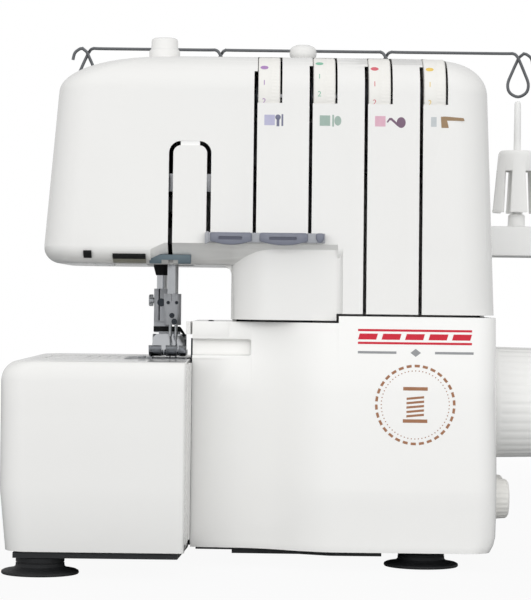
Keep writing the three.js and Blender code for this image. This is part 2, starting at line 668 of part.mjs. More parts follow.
// ---- thread tensions: four numbered wheels and disc pairs on one shaft ----
piece("tension_shaft", rod("x", 2.4, -36.8, 93.8, tensionAxis.y, tensionAxis.z, 12), steel);
const halfDial = dial.width / 2;
const dialWheel = cut(
  rod("x", dial.radius, -halfDial, halfDial, 0, 0, 40),
  rod("x", 2.7, -20, 20, 0, 0, 12),
);
const discPair = turned([
  [2.7, -2.2], [12, -2.2], [12, -1.4], [4.5, -1.2], [4.5, 0.2], [12, 0.4], [12, 1.2], [2.7, 1.2], [2.7, -2.2],
], 14).rotateY(Math.PI / 2);
tensionX.forEach((x, i) => {
  const number = i + 1;
  piece(`tension_dial_${number}`, dialWheel, dialGrey, [x + dial.offset, tensionAxis.y, tensionAxis.z]);
  piece(`tension_discs_${number}`, discPair, steel, [x - 0.4, tensionAxis.y, tensionAxis.z]);
});

// The needle threads' smoked guide: a bar with a notch at each needle thread's channel.
function threadGuide() {
  const { left, right, bottom, top, front, back } = guideBar;
  const lobe = (x0, x1) => {
    const middle = (x0 + x1) / 2;
    const outline = [[x0, top], [x0, bottom + 1.4], [middle, bottom], [x1, bottom + 1.4], [x1, top]];
    return slab(outline, front, back + 2);
  };
  const notch = slotWidth / 2;
  const [first, second] = tensionX;
  return join(
    lobe(left, first - notch),
    lobe(first + notch, second - notch),
    lobe(second + notch, right),
    box(left, right, front + 3, back, bottom + 1.6, bottom + 4),
  );
}
piece("thread_guide_bar", cut(threadGuide(), headBody(-0.2)), smoke);

// ---- controls on the right side ----
const sideKnob = cut(turned([
  [0, -10], [9, -10], [9, 0], [12.4, 0.6], [11.6, 9], [9.8, 10.4], [0, 10.4],
], 24).rotateY(Math.PI / 2), box(8, 12, -1, 1, 3, 9));
piece("stitch_length_dial", sideKnob, dialGrey, [115.9, -30, 38]);
piece("differential_dial", sideKnob, dialGrey, [115.9, 4, 38]);
const rocker = rib([[33, 28.6], [43, 28.6], [43, 43.4], [33, 43.4]], 108, 116.6);
piece("power_switch", common(rocker, rod("y", 8.6, 30, 46, 110, 36, 24)), darkPlastic);
const inlet = cut(
  box(98, 117, 49, 65, 28, 44),
  box(104, 120, 51, 63, 30, 42),
);
piece("power_inlet", inlet, darkPlastic);

// ---- spool stand with four pins and cone holders ----
function spoolStand() {
  const left = stand.centre - stand.halfLength;
  const right = stand.centre + stand.halfLength;
  const faces = { left, right, front: stand.front, back: stand.back };
  const outer = plate(roundedRectangle(faces, Array(4).fill(14)), stand.bottom, stand.top);
  const inner = { left: left + wall, right: right - wall, front: stand.front + wall, back: stand.back - wall };
  const hollow = plate(roundedRectangle(inner, Array(4).fill(11.4)), stand.bottom - 1, stand.top - 3);
  const pin = turned([[0, -2], [5.4, -2], [5.4, 8.4], [2.8, 9.4], [2.1, 81], [0, 82.4]], 10);
  const tray = join(
    cut(outer, hollow),
    box(-30, 37, 72.3, 80, 186, 200),
    rod("z", 10, stand.bottom, stand.top - 2, stand.centre, spoolY, 20),
    ...spoolX.map((x) => pin.clone().translate(x, spoolY, stand.top)),
  );
  return cut(tray, rod("z", 6.4, 100, 250, stand.centre, spoolY, 20));
}
piece("spool_stand", spoolStand(), paleGrey);

function coneHolder() {
  const shell = turned([
    [15.8, 0], [12.2, 38], [10.6, 40.4], [3.4, 40.4], [3.4, 0.6],
    [4.6, 0.6], [4.6, 37], [10, 37], [14.2, 0], [15.8, 0],
  ], 18);
  const windows = [0, 60, 120].map((degrees) => {
    const bar = box(-20, 20, -2.6, 2.6, -1, 27);
    return bar.rotateZ(THREE.MathUtils.degToRad(degrees));
  });
  const core = rod("z", 8, -5, 50, 0, 0, 12);
  return cut(shell, ...windows.map((bar) => cut(bar, core)));
}
const cone = coneHolder();
spoolX.forEach((x, i) => piece(`cone_holder_${i + 1}`, cone, white, [x, spoolY, stand.top + 9.6]));

// ---- telescopic pole with the wire of thread guides ----
const tube = (outer, inner, from, to) => turned([
  [inner, from], [outer, from], [outer, to], [inner, to], [inner, from],
], 16);
const poleAt = [stand.centre, spoolY, 0];
piece("pole_tube", tube(6.2, 4.9, pole.bottom, pole.top), steel, poleAt);
piece("pole_middle", tube(4.6, 3.3, pole.bottom + 2, 303), steel, poleAt);
piece("pole_top", rod("z", 3, pole.bottom + 4, 312, 0, 0, 16), steel, poleAt);

const holderProfile = [
  [0, 306], [5.6, 306], [6.2, 310], [8.8, 313], [8.8, 316.4], [7.4, 318.6], [4.4, 319.8], [0, 320.2],
];
const wireRadius = 1;
const guideHolder = cut(
  turned(holderProfile, 18),
  rod("z", 3.1, 300, 312.2, 0, 0, 16),
  rod("x", wireRadius + 0.2, -20, 20, 0, pole.wireZ, 10),
);
piece("guide_holder", guideHolder, white, poleAt);

// A curve sampled by its own parameter, so that the steps follow its control points and not its length.
class Stepped extends THREE.Curve {
  constructor(curve) {
    super();
    this.curve = curve;
  }

  getPoint(t, target = new THREE.Vector3()) {
    return this.curve.getPoint(t, target);
  }

  getPointAt(t, target) {
    return this.curve.getPoint(t, target);
  }

  getTangentAt(t, target) {
    return this.curve.getTangent(t, target);
  }
}

// One wire from end to end: it dips into a teardrop eye above each spool and hooks down at both ends.
function guideWire() {
  const z = pole.wireZ;
  const reach = 148.5;
  const points = [[-reach - 1.2, 0, z - 7.5], [-reach, 0, z - 3], [-reach + 3, 0, z - 0.4], [-reach + 5, 0, z]];
  const eye = [
    [-3.4, 0, 0], [-0.6, -1.3, -2.4], [0.9, -1.3, -5.4],
    [3.8, -0.9, -12], [6.6, -0.5, -19.5], [5.4, -0.2, -25.2], [0, 0, -28],
    [-5.4, 0.2, -25.2], [-6.6, 0.5, -19.5], [-3.8, 0.9, -12],
    [-0.9, 1.3, -5.4], [0.6, 1.3, -2.4], [3.4, 0, 0],
  ];
  spoolX.forEach((x, i) => {
    const at = x - stand.centre;
    points.push(...eye.map(([dx, dy, dz]) => [at + dx, dy, z + dz]));
    if (i < 3) points.push([at + 12, 0, z], [spoolX[i + 1] - stand.centre - 12, 0, z]);
  });
  points.push([reach - 5, 0, z], [reach - 3, 0, z - 0.4], [reach, 0, z - 3], [reach + 1.2, 0, z - 7.5]);
  const stops = points.map(([x, y, height]) => new THREE.Vector3(x, y, height));
  const smooth = new THREE.CatmullRomCurve3(stops, false, "centripetal");
  return sweep(new Stepped(smooth), wireRadius, 5, (stops.length - 1) * 2);
}

piece("guide_wire", guideWire(), steel, poleAt);

export default serger;
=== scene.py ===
# Serger overlock machine: the finished pieces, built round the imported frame.
# Sizes are millimetres here and become metres when a mesh is made.
import json
import math

import bpy
from mathutils import Matrix, Vector
from mathutils.bvhtree import BVHTree


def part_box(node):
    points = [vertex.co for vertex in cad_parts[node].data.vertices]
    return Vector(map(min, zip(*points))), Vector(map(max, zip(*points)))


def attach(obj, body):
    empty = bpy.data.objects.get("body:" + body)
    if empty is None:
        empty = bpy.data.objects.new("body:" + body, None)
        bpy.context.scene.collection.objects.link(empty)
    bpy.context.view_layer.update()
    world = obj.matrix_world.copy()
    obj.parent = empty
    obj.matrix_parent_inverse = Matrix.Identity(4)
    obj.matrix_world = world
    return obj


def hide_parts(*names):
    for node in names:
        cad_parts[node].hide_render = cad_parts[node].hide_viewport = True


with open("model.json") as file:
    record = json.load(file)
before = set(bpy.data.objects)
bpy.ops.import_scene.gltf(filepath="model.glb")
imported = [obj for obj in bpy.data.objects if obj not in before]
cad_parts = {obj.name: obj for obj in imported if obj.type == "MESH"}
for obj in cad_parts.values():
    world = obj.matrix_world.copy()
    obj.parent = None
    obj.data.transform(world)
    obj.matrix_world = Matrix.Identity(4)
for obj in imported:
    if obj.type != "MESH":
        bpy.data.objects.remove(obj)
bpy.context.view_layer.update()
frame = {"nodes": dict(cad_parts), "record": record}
record = frame["record"]
bodyOf = {node: body for body, nodes in record["behaviour"]["bodies"].items() for node in nodes}
slotOf = {part["node"]: part["material_slot"] for part in record["subparts"]}
scene = bpy.context.scene
mm = 0.001
print("frame loaded:", len(frame["nodes"]), "nodes")


# The camera is level, in front of the machine, with a slight roll.
view = {"place": (-19, -1435, 154), "lens": 142.08, "rollDegrees": 0.7}
cameraData = bpy.data.cameras.new("camera")
cameraData.lens = view["lens"]
cameraData.clip_end = 50
camera = bpy.data.objects.new("camera", cameraData)
scene.collection.objects.link(camera)
tilt = Matrix.Rotation(math.radians(90), 4, "X") @ Matrix.Rotation(math.radians(view["rollDegrees"]), 4, "Z")
camera.matrix_world = Matrix.Translation(Vector(view["place"]) * mm) @ tilt
scene.camera = camera


def newPiece(name, points, faces):
    mesh = bpy.data.meshes.new(name)
    mesh.from_pydata([Vector(p) * mm for p in points], [], faces)
    mesh.update()
    piece = bpy.data.objects.new(name, mesh)
    scene.collection.objects.link(piece)
    return piece


def bake(piece):
    graph = bpy.context.evaluated_depsgraph_get()
    done = bpy.data.meshes.new_from_object(piece.evaluated_get(graph))
    piece.modifiers.clear()
    piece.data = done
    return piece


def discard(piece):
    bpy.data.objects.remove(piece, do_unlink=True)


def combine(piece, tool, how):
    change = piece.modifiers.new("combine", "BOOLEAN")
    change.operation = how
    change.solver = "MANIFOLD"
    change.object = tool
    bake(piece)
    discard(tool)
    return piece


def carve(piece, *tools):
    for tool in tools:
        combine(piece, tool, "DIFFERENCE")
    return piece


def weld(piece, *others):
    for other in others:
        combine(piece, other, "UNION")
    return piece


# Several closed shells kept as one piece, with no boolean.
def gather(name, pieces):
    points, faces = [], []
    for part in pieces:
        start = len(points)
        points += [vertex.co / mm for vertex in part.data.vertices]
        faces += [[start + i for i in polygon.vertices] for polygon in part.data.polygons]
        discard(part)
    return newPiece(name, points, faces)


def bevel(piece, width, segments=2, angle=40):
    change = piece.modifiers.new("bevel", "BEVEL")
    change.width = width * mm
    change.segments = segments
    change.limit_method = "ANGLE"
    change.angle_limit = math.radians(angle)
    change.harden_normals = False
    return bake(piece)


def shade(piece, angle=32):
    mesh = piece.data
    mesh.polygons.foreach_set("use_smooth", [True] * len(mesh.polygons))
    mesh.set_sharp_from_angle(angle=math.radians(angle))
    return piece


# Puts two in-plane values and one along the axis in X, Y, Z order.
def onAxis(axis, along, first, second):
    return {"x": (along, first, second), "y": (first, along, second), "z": (first, second, along)}[axis]


# A closed skin over rings of points. A ring of one point is a tip; with loop the last ring meets the first.
def skin(name, rings, loop=False, flip=False):
    points, rows = [], []
    for ring in rings:
        rows.append(range(len(points), len(points) + len(ring)))
        points += ring
    faces = []
    for a, b in zip(rows, rows[1:] + rows[:1] if loop else rows[1:]):
        sides = max(len(a), len(b))
        for i in range(sides):
            j = (i + 1) % sides
            corners = (a[i % len(a)], a[j % len(a)], b[j % len(b)], b[i % len(b)])
            faces.append(list(dict.fromkeys(corners)))
    if not loop:
        faces += [list(row)[::way] for row, way in ((rows[0], -1), (rows[-1], 1)) if len(row) > 1]
    return newPiece(name, points, [face[::-1] for face in faces] if flip else faces)


def extruded(name, outline, low, high, axis="z", edge=0.0, segments=3):
    rings = [[onAxis(axis, level, *p) for p in outline] for level in (low, high)]
    piece = skin(name, rings, flip=axis == "y")
    return bevel(piece, edge, segments) if edge else piece


def block(name, low, high, edge=0.0):
    (x0, y0, z0), (x1, y1, z1) = low, high
    return extruded(name, [(x0, y0), (x1, y0), (x1, y1), (x0, y1)], z0, z1, "z", edge)


# A turned piece about an axis, from (radius, height) points. A loop that returns to its start is a ring.
def turned(name, profile, centre, axis="z", steps=64):
    loop = profile[0] == profile[-1]
    rings = []
    for radius, height in profile[:-1] if loop else profile:
        angles = [2 * math.pi * i / steps for i in range(steps if radius else 1)]
        ring = [onAxis(axis, height, radius * math.cos(a), radius * math.sin(a)) for a in angles]
        rings.append([Vector(p) + Vector(centre) for p in ring])
    return skin(name, rings, loop, flip=axis == "y")


# A wheel about X from (x, radius, hasRibs) stations. The depth of a rib comes from its step and angle.
def ribbed(name, stations, centre, steps, depthAt, loop=False):
    rings = []
    for x, radius, hasRibs in stations:
        ring = []
        for i in range(steps):
            angle = 2 * math.pi * i / steps
            reach = radius - (depthAt(i, angle) if hasRibs else 0)
            ring.append(
                (centre[0] + x, centre[1] + reach * math.cos(angle), centre[2] + reach * math.sin(angle)),
            )
        rings.append(ring)
    return skin(name, rings, loop)


# A round bar with eased ends.
def rod(name, axis, radius, low, high, first, second, ease=0.3, steps=48):
    profile = [
        (0, low), (radius - ease, low), (radius, low + ease), (radius, high - ease), (radius - ease, high),
        (0, high),
    ]
    return turned(name, profile, onAxis(axis, 0, first, second), axis, steps)


def loft(name, levels, axis="z"):
    return skin(name, [[onAxis(axis, along, *p) for p in outline] for along, outline in levels])


# A tube along a smooth line through the points, with a frame that doesn't twist.
def swept(name, stops, radius, perSpan=6, sides=12):
    line = []
    padded = [stops[0], *stops, stops[-1]]
    for a, b, c, d in zip(padded, padded[1:], padded[2:], padded[3:]):
        a, b, c, d = Vector(a), Vector(b), Vector(c), Vector(d)
        for i in range(perSpan):
            t = i / perSpan
            bend = (2 * a - 5 * b + 4 * c - d) * t * t
            line.append(0.5 * (2 * b + (c - a) * t + bend + (3 * b - a - 3 * c + d) * t**3))
    line.append(Vector(stops[-1]))
    side = Vector((0, 1, 0))
    rings = []
    for i, place in enumerate(line):
        along = (line[min(i + 1, len(line) - 1)] - line[max(i - 1, 0)]).normalized()
        side = (side - along * side.dot(along)).normalized()
        across = along.cross(side)
        angles = [2 * math.pi * k / sides for k in range(sides)]
        rings.append([place + radius * (math.cos(a) * side + math.sin(a) * across) for a in angles])
    return skin(name, rings)


def arc(centre, radius, start, end, steps=8):
    angles = [math.radians(start + (end - start) * i / steps) for i in range(steps + 1)]
    return [(centre[0] + radius * math.cos(a), centre[1] + radius * math.sin(a)) for a in angles]


# Corner radii are front-left, front-right, back-right, back-left.
def roundedRectangle(left, right, front, back, radii, steps=10):
    corners = [
        (left, front, 1, 1, 180), (right, front, -1, 1, 270), (right, back, -1, -1, 0),
        (left, back, 1, -1, 90),
    ]
    outline = []
    for (x, y, inX, inY, start), radius in zip(corners, radii):
        radius = max(0.05, min(radius, (right - left) / 2.02, (back - front) / 2.02))
        outline += arc((x + inX * radius, y + inY * radius), radius, start, start + 90, steps)
    return outline


def toLinear(hexColour):
    values = [int(hexColour[i : i + 2], 16) / 255 for i in (1, 3, 5)]
    return [v / 12.92 if v <= 0.04045 else ((v + 0.055) / 1.055) ** 2.4 for v in values] + [1]


def addNode(tree, kind, inputs=(), **settings):
    node = tree.nodes.new(kind)
    for key, value in settings.items():
        setattr(node, key, value)
    for socket, value in dict(inputs).items():
        if isinstance(value, bpy.types.NodeSocket):
            tree.links.new(value, node.inputs[socket])
        else:
            node.inputs[socket].default_value = value
    return node


# A surface with a broad drift of colour, and a fine grain in gloss and height. Sizes are millimetres:
# how wide the drift is, how wide the grain is, and how deep. A stretched grain makes brush lines.
def finish(name, colours, drift, grain, depth, roughness, fixed, metallic=0.0, stretch=(1, 1, 1), pits=0):
    material = bpy.data.materials.new(name)
    material.use_nodes = True
    tree = material.node_tree
    tree.nodes.clear()
    place = addNode(tree, "ShaderNodeTexCoord").outputs["Object"]
    wide = addNode(tree, "ShaderNodeTexNoise", {
        "Vector": place, "Scale": 1000 / drift, "Detail": 3.0, "Roughness": 0.5,
    }).outputs["Fac"]
    colour = addNode(tree, "ShaderNodeMixRGB", {
        "Fac": wide, "Color1": toLinear(colours[0]), "Color2": toLinear(colours[1]),
    }).outputs["Color"]
    spread = addNode(tree, "ShaderNodeMapping", {"Vector": place, "Scale": stretch}).outputs["Vector"]
    fine = addNode(tree, "ShaderNodeTexNoise", {
        "Vector": spread, "Scale": 1000 / grain, "Detail": 4.0, "Roughness": 0.6,
    }).outputs["Fac"]
    rough = addNode(tree, "ShaderNodeMapRange", {
        "Value": fine, "From Min": 0.3, "From Max": 0.7, "To Min": roughness[0], "To Max": roughness[1],
    }).outputs["Result"]
    height = fine
    if pits:
        cells = addNode(
            tree, "ShaderNodeTexVoronoi", {"Vector": place, "Scale": 1000 / pits},
        ).outputs["Distance"]
        height = addNode(tree, "ShaderNodeMath", {0: fine, 1: cells}, operation="ADD").outputs[0]
    bump = addNode(tree, "ShaderNodeBump", {
        "Height": height, "Strength": 1.0, "Distance": depth * mm,
    }).outputs["Normal"]
    shader = addNode(tree, "ShaderNodeBsdfPrincipled", {
        "Base Color": colour, "Roughness": rough, "Normal": bump, "Metallic": metallic,
    })
    for socket, value in fixed.items():
        shader.inputs[socket].default_value = value
    addNode(tree, "ShaderNodeOutputMaterial", {"Surface": shader.outputs["BSDF"]})
    return material


moulded = {"IOR": 1.54}  # ABS
clearPlastic = {"IOR": 1.58}  # polycarbonate
materials = {
    # Moulded ABS with a polished tool: a soft shine over a faint ripple.
    "shell_white": finish(
        "moulded_ABS_warm_white", ("#EBEBE9", "#E8E7E5"), 90, 2.4, 0.0006, (0.07, 0.11), moulded,
    ),
    # The cover, the handwheel and the cones are the same plastic painted a shade whiter, to make up for the dimmer
    # light they get.
    "shell_white_painted_brighter": finish(
        "moulded_ABS_white_painted_brighter", ("#F6F6F4", "#F3F2F0"), 90, 2.4, 0.0006, (0.07, 0.11), moulded,
    ),
    # The stand has a duller tool: it reads as even and chalky beside the shells.
    "shell_grey": finish(
        "moulded_ABS_pale_grey", ("#F6F6F5", "#F1F1EF"), 60, 1.0, 0.008, (0.32, 0.42), moulded,
    ),
    # A spark-eroded mould gives the dials a fine matt grip.
    "dial_grey": finish(
        "moulded_ABS_textured_dial", ("#EFEEEA", "#E8E6E1"), 12, 0.5, 0.02, (0.4, 0.55), moulded,
    ),
    # Smoked and clear plastic let a little light in, so their edges glow softly.
    "smoke": finish(
        "smoked_polycarbonate", ("#8E92A0", "#7B7F8E"), 9, 1.5, 0.003, (0.12, 0.2),
        {**clearPlastic, "Transmission Weight": 0.25},
    ),
    "clear": finish(
        "clear_grey_polycarbonate", ("#C6C8CE", "#B7BAC1"), 9, 1.5, 0.003, (0.1, 0.16),
        {**clearPlastic, "Transmission Weight": 0.35},
    ),
    # Moulded nitrile rubber: dull black with a little bloom.
    "black_rubber": finish(
        "moulded_nitrile_rubber", ("#151617", "#242527"), 14, 0.7, 0.03, (0.55, 0.75), {"IOR": 1.52},
    ),
    # Grained black plastic shows a grey haze where the light grazes it.
    "black_plastic": finish(
        "moulded_ABS_black_grained", ("#1C1D1F", "#27282A"), 25, 0.8, 0.03, (0.4, 0.58), moulded,
    ),
    # Hard chromed steel: bright, with the last trace of the polishing wheel.
    "polished_steel": finish(
        "chromed_steel_polished", ("#D9DBDE", "#CBCDD1"), 12, 0.9, 0.002, (0.1, 0.2), {}, 1.0, (1, 1, 0.15),
    ),
    # Ground steel: fine lines along Y that stretch the highlights across them.
    "brushed_steel": finish(
        "ground_steel_brushed", ("#C4C6C9", "#B2B4B8"), 18, 0.5, 0.008, (0.24, 0.4), {}, 1.0, (1, 0.06, 1),
    ),
    # Oxidised steel: nearly black, for the screws; on the tension discs it is painted shade for the dark in their
    # slots.
    "dark_steel": finish("oxidised_steel_black_and_painted_shade", ("#55595F", "#40444A"), 8, 0.5, 0.01, (0.3, 0.45), {}, 1.0),
    # Bead-blasted steel spreads its highlights, so the clamps read as a soft even grey.
    "satin_steel": finish(
        "bead_blasted_steel_satin", ("#D3D5D9", "#BBBDC2"), 7, 0.35, 0.012, (0.42, 0.56), {}, 1.0,
    ),
    # Blued steel: a cool tint under a satin shine.
    "blued_steel": finish("blued_steel_satin", ("#8C9BA3", "#76868F"), 8, 0.5, 0.006, (0.35, 0.48), {}, 1.0),
    # Drawn wire: grey and satin, with the drawing lines along it.
    "wire_steel": finish(
        "drawn_steel_wire", ("#8B8D90", "#7A7C80"), 9, 0.4, 0.004, (0.3, 0.42), {}, 1.0, (0.1, 1, 1),
    ),
    # Die-cast aluminium: grey, with sand-fine pits from the mould.
    "cast_alloy": finish(
        "die_cast_aluminium", ("#B0B2B4", "#94969A"), 22, 1.2, 0.05, (0.42, 0.6), {}, 1.0, (1, 1, 1), 2.2,
    ),
    # Satin paint on the motor: an even grey with a slight orange peel.
    "motor_can": finish(
        "painted_steel_satin_grey", ("#5D6165", "#4E5256"), 30, 0.9, 0.015, (0.35, 0.5), {"IOR": 1.5},
    ),
    # Opal plastic hides the bulb and looks milky.
    "lamp": finish(
        "opal_polycarbonate_diffuser", ("#F6F7F8", "#ECEEF0"), 6, 0.6, 0.01, (0.3, 0.4), clearPlastic,
    ),
    # The inside of a shell is left as the mould made it, with a near-black colour that is painted shade for its dim
    # inside.
    "shell_inside": finish(
        "moulded_ABS_unpolished_inside_painted_shade", ("#343536", "#28292A"), 30, 0.8, 0.03, (0.6, 0.8), moulded,
    ),
    # Near-black and matt: the seal, the guard plate and the cutter blade wear it, and on the belly at the thread
    # hole it is painted shadow.
    "shadow_gap": finish(
        "black_matt_and_painted_shadow", ("#0E0F10", "#161718"), 10, 0.8, 0.05, (0.8, 0.95), {"IOR": 1.45},
    ),
}


# Pad-printed ink: a thin even film, duller than the plastic under it.
def ink(name, colour, shade):
    return finish(name, (colour, shade), 3, 0.4, 0.004, (0.38, 0.5), {"IOR": 1.5})


inkColours = {
    "red": ("#D3233A", "#C81E34"), "grey": ("#9C9EA0", "#8E9092"), "bronze": ("#A8795A", "#96684B"),
    "purple": ("#AE86BE", "#9D76AE"), "green": ("#86C0A6", "#76B297"), "rose": ("#D96A76", "#CC5C69"),
    "yellow": ("#EBCB6C", "#E2BF5B"), "lilac": ("#BDBCD4", "#AFAEC9"), "slate": ("#7A7C92", "#6C6E84"),
    "sage": ("#A5B8AF", "#96ABA1"), "pink": ("#DDB4C3", "#D3A5B6"), "plum": ("#80677B", "#70586C"),
    "silver": ("#C6CACC", "#B8BDBF"), "tan": ("#A08668", "#8F7557"),
}
inks = {name: ink("pad_ink_" + name, *colours) for name, colours in inkColours.items()}
print("materials made:", len(materials) + len(inks))


def dress(piece, material, angle=32):
    piece.data.materials.clear()
    piece.data.materials.append(material)
    return shade(piece, angle)


def standFor(piece, node, *more, angle=32, material=None):
    dress(piece, material or materials[slotOf[node]], angle)
    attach(piece, bodyOf[node])
    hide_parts(node, *more)
    return piece


def addOn(piece, body, material, angle=32):
    dress(piece, material, angle)
    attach(piece, body)
    return piece


def boxOf(node):
    low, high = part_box(node)
    return Vector(low) / mm, Vector(high) / mm


# The two casings share one shape: an upright column, a head with a rounded crown and belly, a lower body.
casing = {
    "left": -150.8, "right": 113.3, "front": -85, "back": 72, "taperFrom": 145,
    "leanLeft": 0.08, "leanRight": 0.036, "leanFront": 0.06, "leanBack": 0.05,
    "crownFoot": 274, "top": 296, "crown": (55, 25, 28, 30),
    "bellyTop": 184, "bottom": 174, "belly": (9, 9, 20, 9),
    "corner": 22, "columnLeft": -39, "columnCorner": 16, "wall": 2.6, "split": -5,
    "archFillet": 6, "slotWidth": 2, "windowRadius": 23.7,
}
lower = {
    "left": -61.7, "right": 115.7, "front": -60.2, "back": 72.6, "bottom": 10.4, "deck": 141, "corner": 14,
}
coverTop = {"left": 141.3, "right": 145.3, "stepX": 23, "gap": 1.3}
scoop = {
    "left": -78, "right": 22, "front": -79, "top": 186.3, "cove": 4.5,
    # the column's left corner inside the recess, from its face round to its side
    "easing": (
        (-13, -79), (-17, -78.85), (-20.5, -78.2), (-24, -76.7), (-27.5, -74.3), (-31, -71.3), (-34, -68.1),
        (-36.5, -64.6), (-38.3, -60.8), (-39.1, -57),
    ),
}
wheels = [boxOf(f"tension_dial_{number}") for number in (1, 2, 3, 4)]
slotX = [(low.x + high.x) / 2 - 7.6 for low, high in wheels]
wheelAxis = ((wheels[0][0].y + wheels[0][1].y) / 2, (wheels[0][0].z + wheels[0][1].z) / 2)
wall = casing["wall"]
presserX, presserY = -81, -20


def casingAt(z, inset, pinch, rounding):
    rise = max(0, z - casing["taperFrom"])
    left, right, front, back = rounding
    return (
        casing["left"] + casing["leanLeft"] * rise + pinch * left + inset,
        casing["right"] - casing["leanRight"] * rise - pinch * right - inset,
        casing["front"] + casing["leanFront"] * rise + pinch * front + inset,
        casing["back"] - casing["leanBack"] * rise - pinch * back - inset,
    )


def headSolid(name, inset):
    radii = [casing["corner"] - inset] * 4
    bottom = casing["bottom"] + inset
    top = casing["top"] - inset
    levels = []
    for i in range(9):
        angle = math.radians(90 * i / 8)
        z = bottom + (casing["bellyTop"] - bottom) * (1 - math.cos(angle))
        levels.append((z, roundedRectangle(*casingAt(z, inset, 1 - math.sin(angle), casing["belly"]), radii)))
    for i in range(17):
        angle = math.radians(90 * i / 16)
        z = casing["crownFoot"] + (top - casing["crownFoot"]) * math.sin(angle)
        levels.append((z, roundedRectangle(*casingAt(z, inset, 1 - math.cos(angle), casing["crown"]), radii)))
    return loft(name, levels)


def columnSolid(name, inset, foot):
    radii = [
        r - inset for r in (casing["columnCorner"], casing["corner"], casing["corner"], casing["corner"])
    ]
    levels = []
    for z in (foot, casing["taperFrom"], 175, 205):
        faces = list(casingAt(z, inset, 0, (0, 0, 0, 0)))
        faces[0] = casing["columnLeft"] + inset
        levels.append((z, roundedRectangle(*faces, radii)))
    return loft(name, levels)


def lowerSolid(name, inset):
    radii = [0.4, 0.4, lower["corner"] - inset, lower["corner"] - inset]
    front = lower["front"] - 20 if inset else lower["front"]
    bottom, deck, widest = lower["bottom"], lower["deck"], lower["right"]
    levels = []
    for z, right, tuck in [
        (bottom, widest - 3.5, 3), (17, widest - 1.2, 1), (21.8, widest, 0), (54, widest, 0),
        (deck, widest - 1.7, 0),
    ]:
        height = z - inset if z == deck else z
        if inset and z == bottom:
            height = 0
        faces = (lower["left"] + inset, right - inset, front, lower["back"] - inset - tuck)
        levels.append((height, roundedRectangle(*faces, radii)))
    return loft(name, levels)


# The concave corner where the head's underside meets the column.
def archFillet(name):
    r = casing["archFillet"]
    x, z = casing["columnLeft"], casing["bottom"]
    outline = [(x + 1, z - r), *arc((x - r, z - r), r, 0, 90, 10), (x - r, z + 1), (x + 1, z + 1)]
    return extruded(name, outline, -56.6, 58, "y")


def cutter(low, high):
    return block("cutter", low, high)


def bore(*where):
    return rod("bore", *where, ease=0.05)


def channelCutter():
    half = 1.25
    left, right, top, radius = -74, -52.2, 244.6, 7
    rings = []
    for grow in (half, -half):
        r = radius - half + grow
        outline = [
            (right + grow, 100), *arc((right + grow - r, top - half + grow - r), r, 0, 90),
            *arc((left - grow + r, top - half + grow - r), r, 90, 180), (left - grow, 100),
        ]
        rings.append(extruded("channel", outline, -110, -62, "y"))
    return carve(rings[0], rings[1], cutter((right - 3, -110, 90), (right + 3, -60, 187.5)))


# Under the guide bar the head's underside rises a little, from a run-in at its left.
def headScoop(grow):
    def section(top):
        curve = [(-60 + grow, casing["bottom"] - 1 + grow), (-66 + grow, casing["bottom"] + 1.6 + grow)]
        curve += [(-73 + grow, top - 6.6 + grow), (scoop["front"] + grow, top - 3.2 + grow)]
        return [(-120, 90), (-60 + grow, 90), *curve, (-82.8 + grow, top + grow), (-120, top + grow)]

    ends = [(scoop["left"] - 7 - grow, casing["bellyTop"] - 1.5), (scoop["left"] + 1 - grow, scoop["top"])]
    ends += [(scoop["right"] + grow, scoop["top"])]
    return loft("head_scoop", [(x, section(top)) for x, top in ends], "x")


# The recess in the column's front, with a coved right-hand edge.
def columnScoop(grow):
    right, front, r = scoop["right"] + grow, scoop["front"] + grow, scoop["cove"]
    outline = [
        (-80, -120), (right + 3, -120), (right + 3, front - r), *arc((right + 3 - r, front - r), r, 0, 90, 8),
    ]
    outline += [(x + grow, y + grow) for x, y in scoop["easing"]] + [(-80, scoop["easing"][-1][1] + grow)]
    return extruded("column_scoop", outline, 90, scoop["top"] + grow)


def upperSolid(name, inset, foot):
    head = carve(headSolid(name, inset), headScoop(inset))
    return weld(head, carve(columnSolid("column", inset, foot), columnScoop(inset)))


def makeFrontCasing():
    outer = weld(
        upperSolid("front_casing_shell", 0, coverTop["left"] + coverTop["gap"]), archFillet("fillet"),
    )
    outside = outer.data.copy()
    hollow = upperSolid("hollow", wall, 100)
    carve(outer, hollow, cutter((-400, casing["split"], 0), (400, 200, 400)))
    carve(
        outer,
        cutter(
            (coverTop["stepX"] - coverTop["gap"], -200, 0), (400, 200, coverTop["right"] + coverTop["gap"]),
        ),
    )
    half = casing["slotWidth"] / 2
    for i, x in enumerate(slotX):
        foot = 187.5 if i < 2 else 100
        carve(outer, cutter((x - half, -100, foot), (x + half, -62, 285.6 if i == 0 else 289.4)))
        window = rod(
            "window", "x", casing["windowRadius"], x + 0.9, x + 15.1, *wheelAxis, ease=0.05, steps=96,
        )
        carve(outer, window)
    carve(outer, channelCutter(), cutter((-89.5, -46, 160), (-61.5, 0, 186)))
    carve(outer, cutter((-120, -58, 160), (-106, -45, 186)), cutter((-102.5, -56, 160), (-91, -47, 186)))
    carve(outer, bore("z", 9.6, 250, 320, presserX, presserY))
    return outer, outside


# The inside of a shell gets the near-black inner colour, painted shade: those faces lie a wall's thickness under the
# skin.
def darkenInside(piece, outside, depth):
    sides = [list(p.vertices) for p in outside.polygons]
    tree = BVHTree.FromPolygons([v.co for v in outside.vertices], sides)
    piece.data.materials.append(materials["shell_inside"])
    for polygon in piece.data.polygons:
        distance = tree.find_nearest(polygon.center)[3] or 0
        if distance > depth * mm:
            polygon.material_index = 1


frontCasing, frontSkin = makeFrontCasing()
bevel(frontCasing, 0.3, 2, 50)
standFor(frontCasing, "front_casing")
darkenInside(frontCasing, frontSkin, 1.9)
print("front casing:", len(frontCasing.data.polygons), "faces")


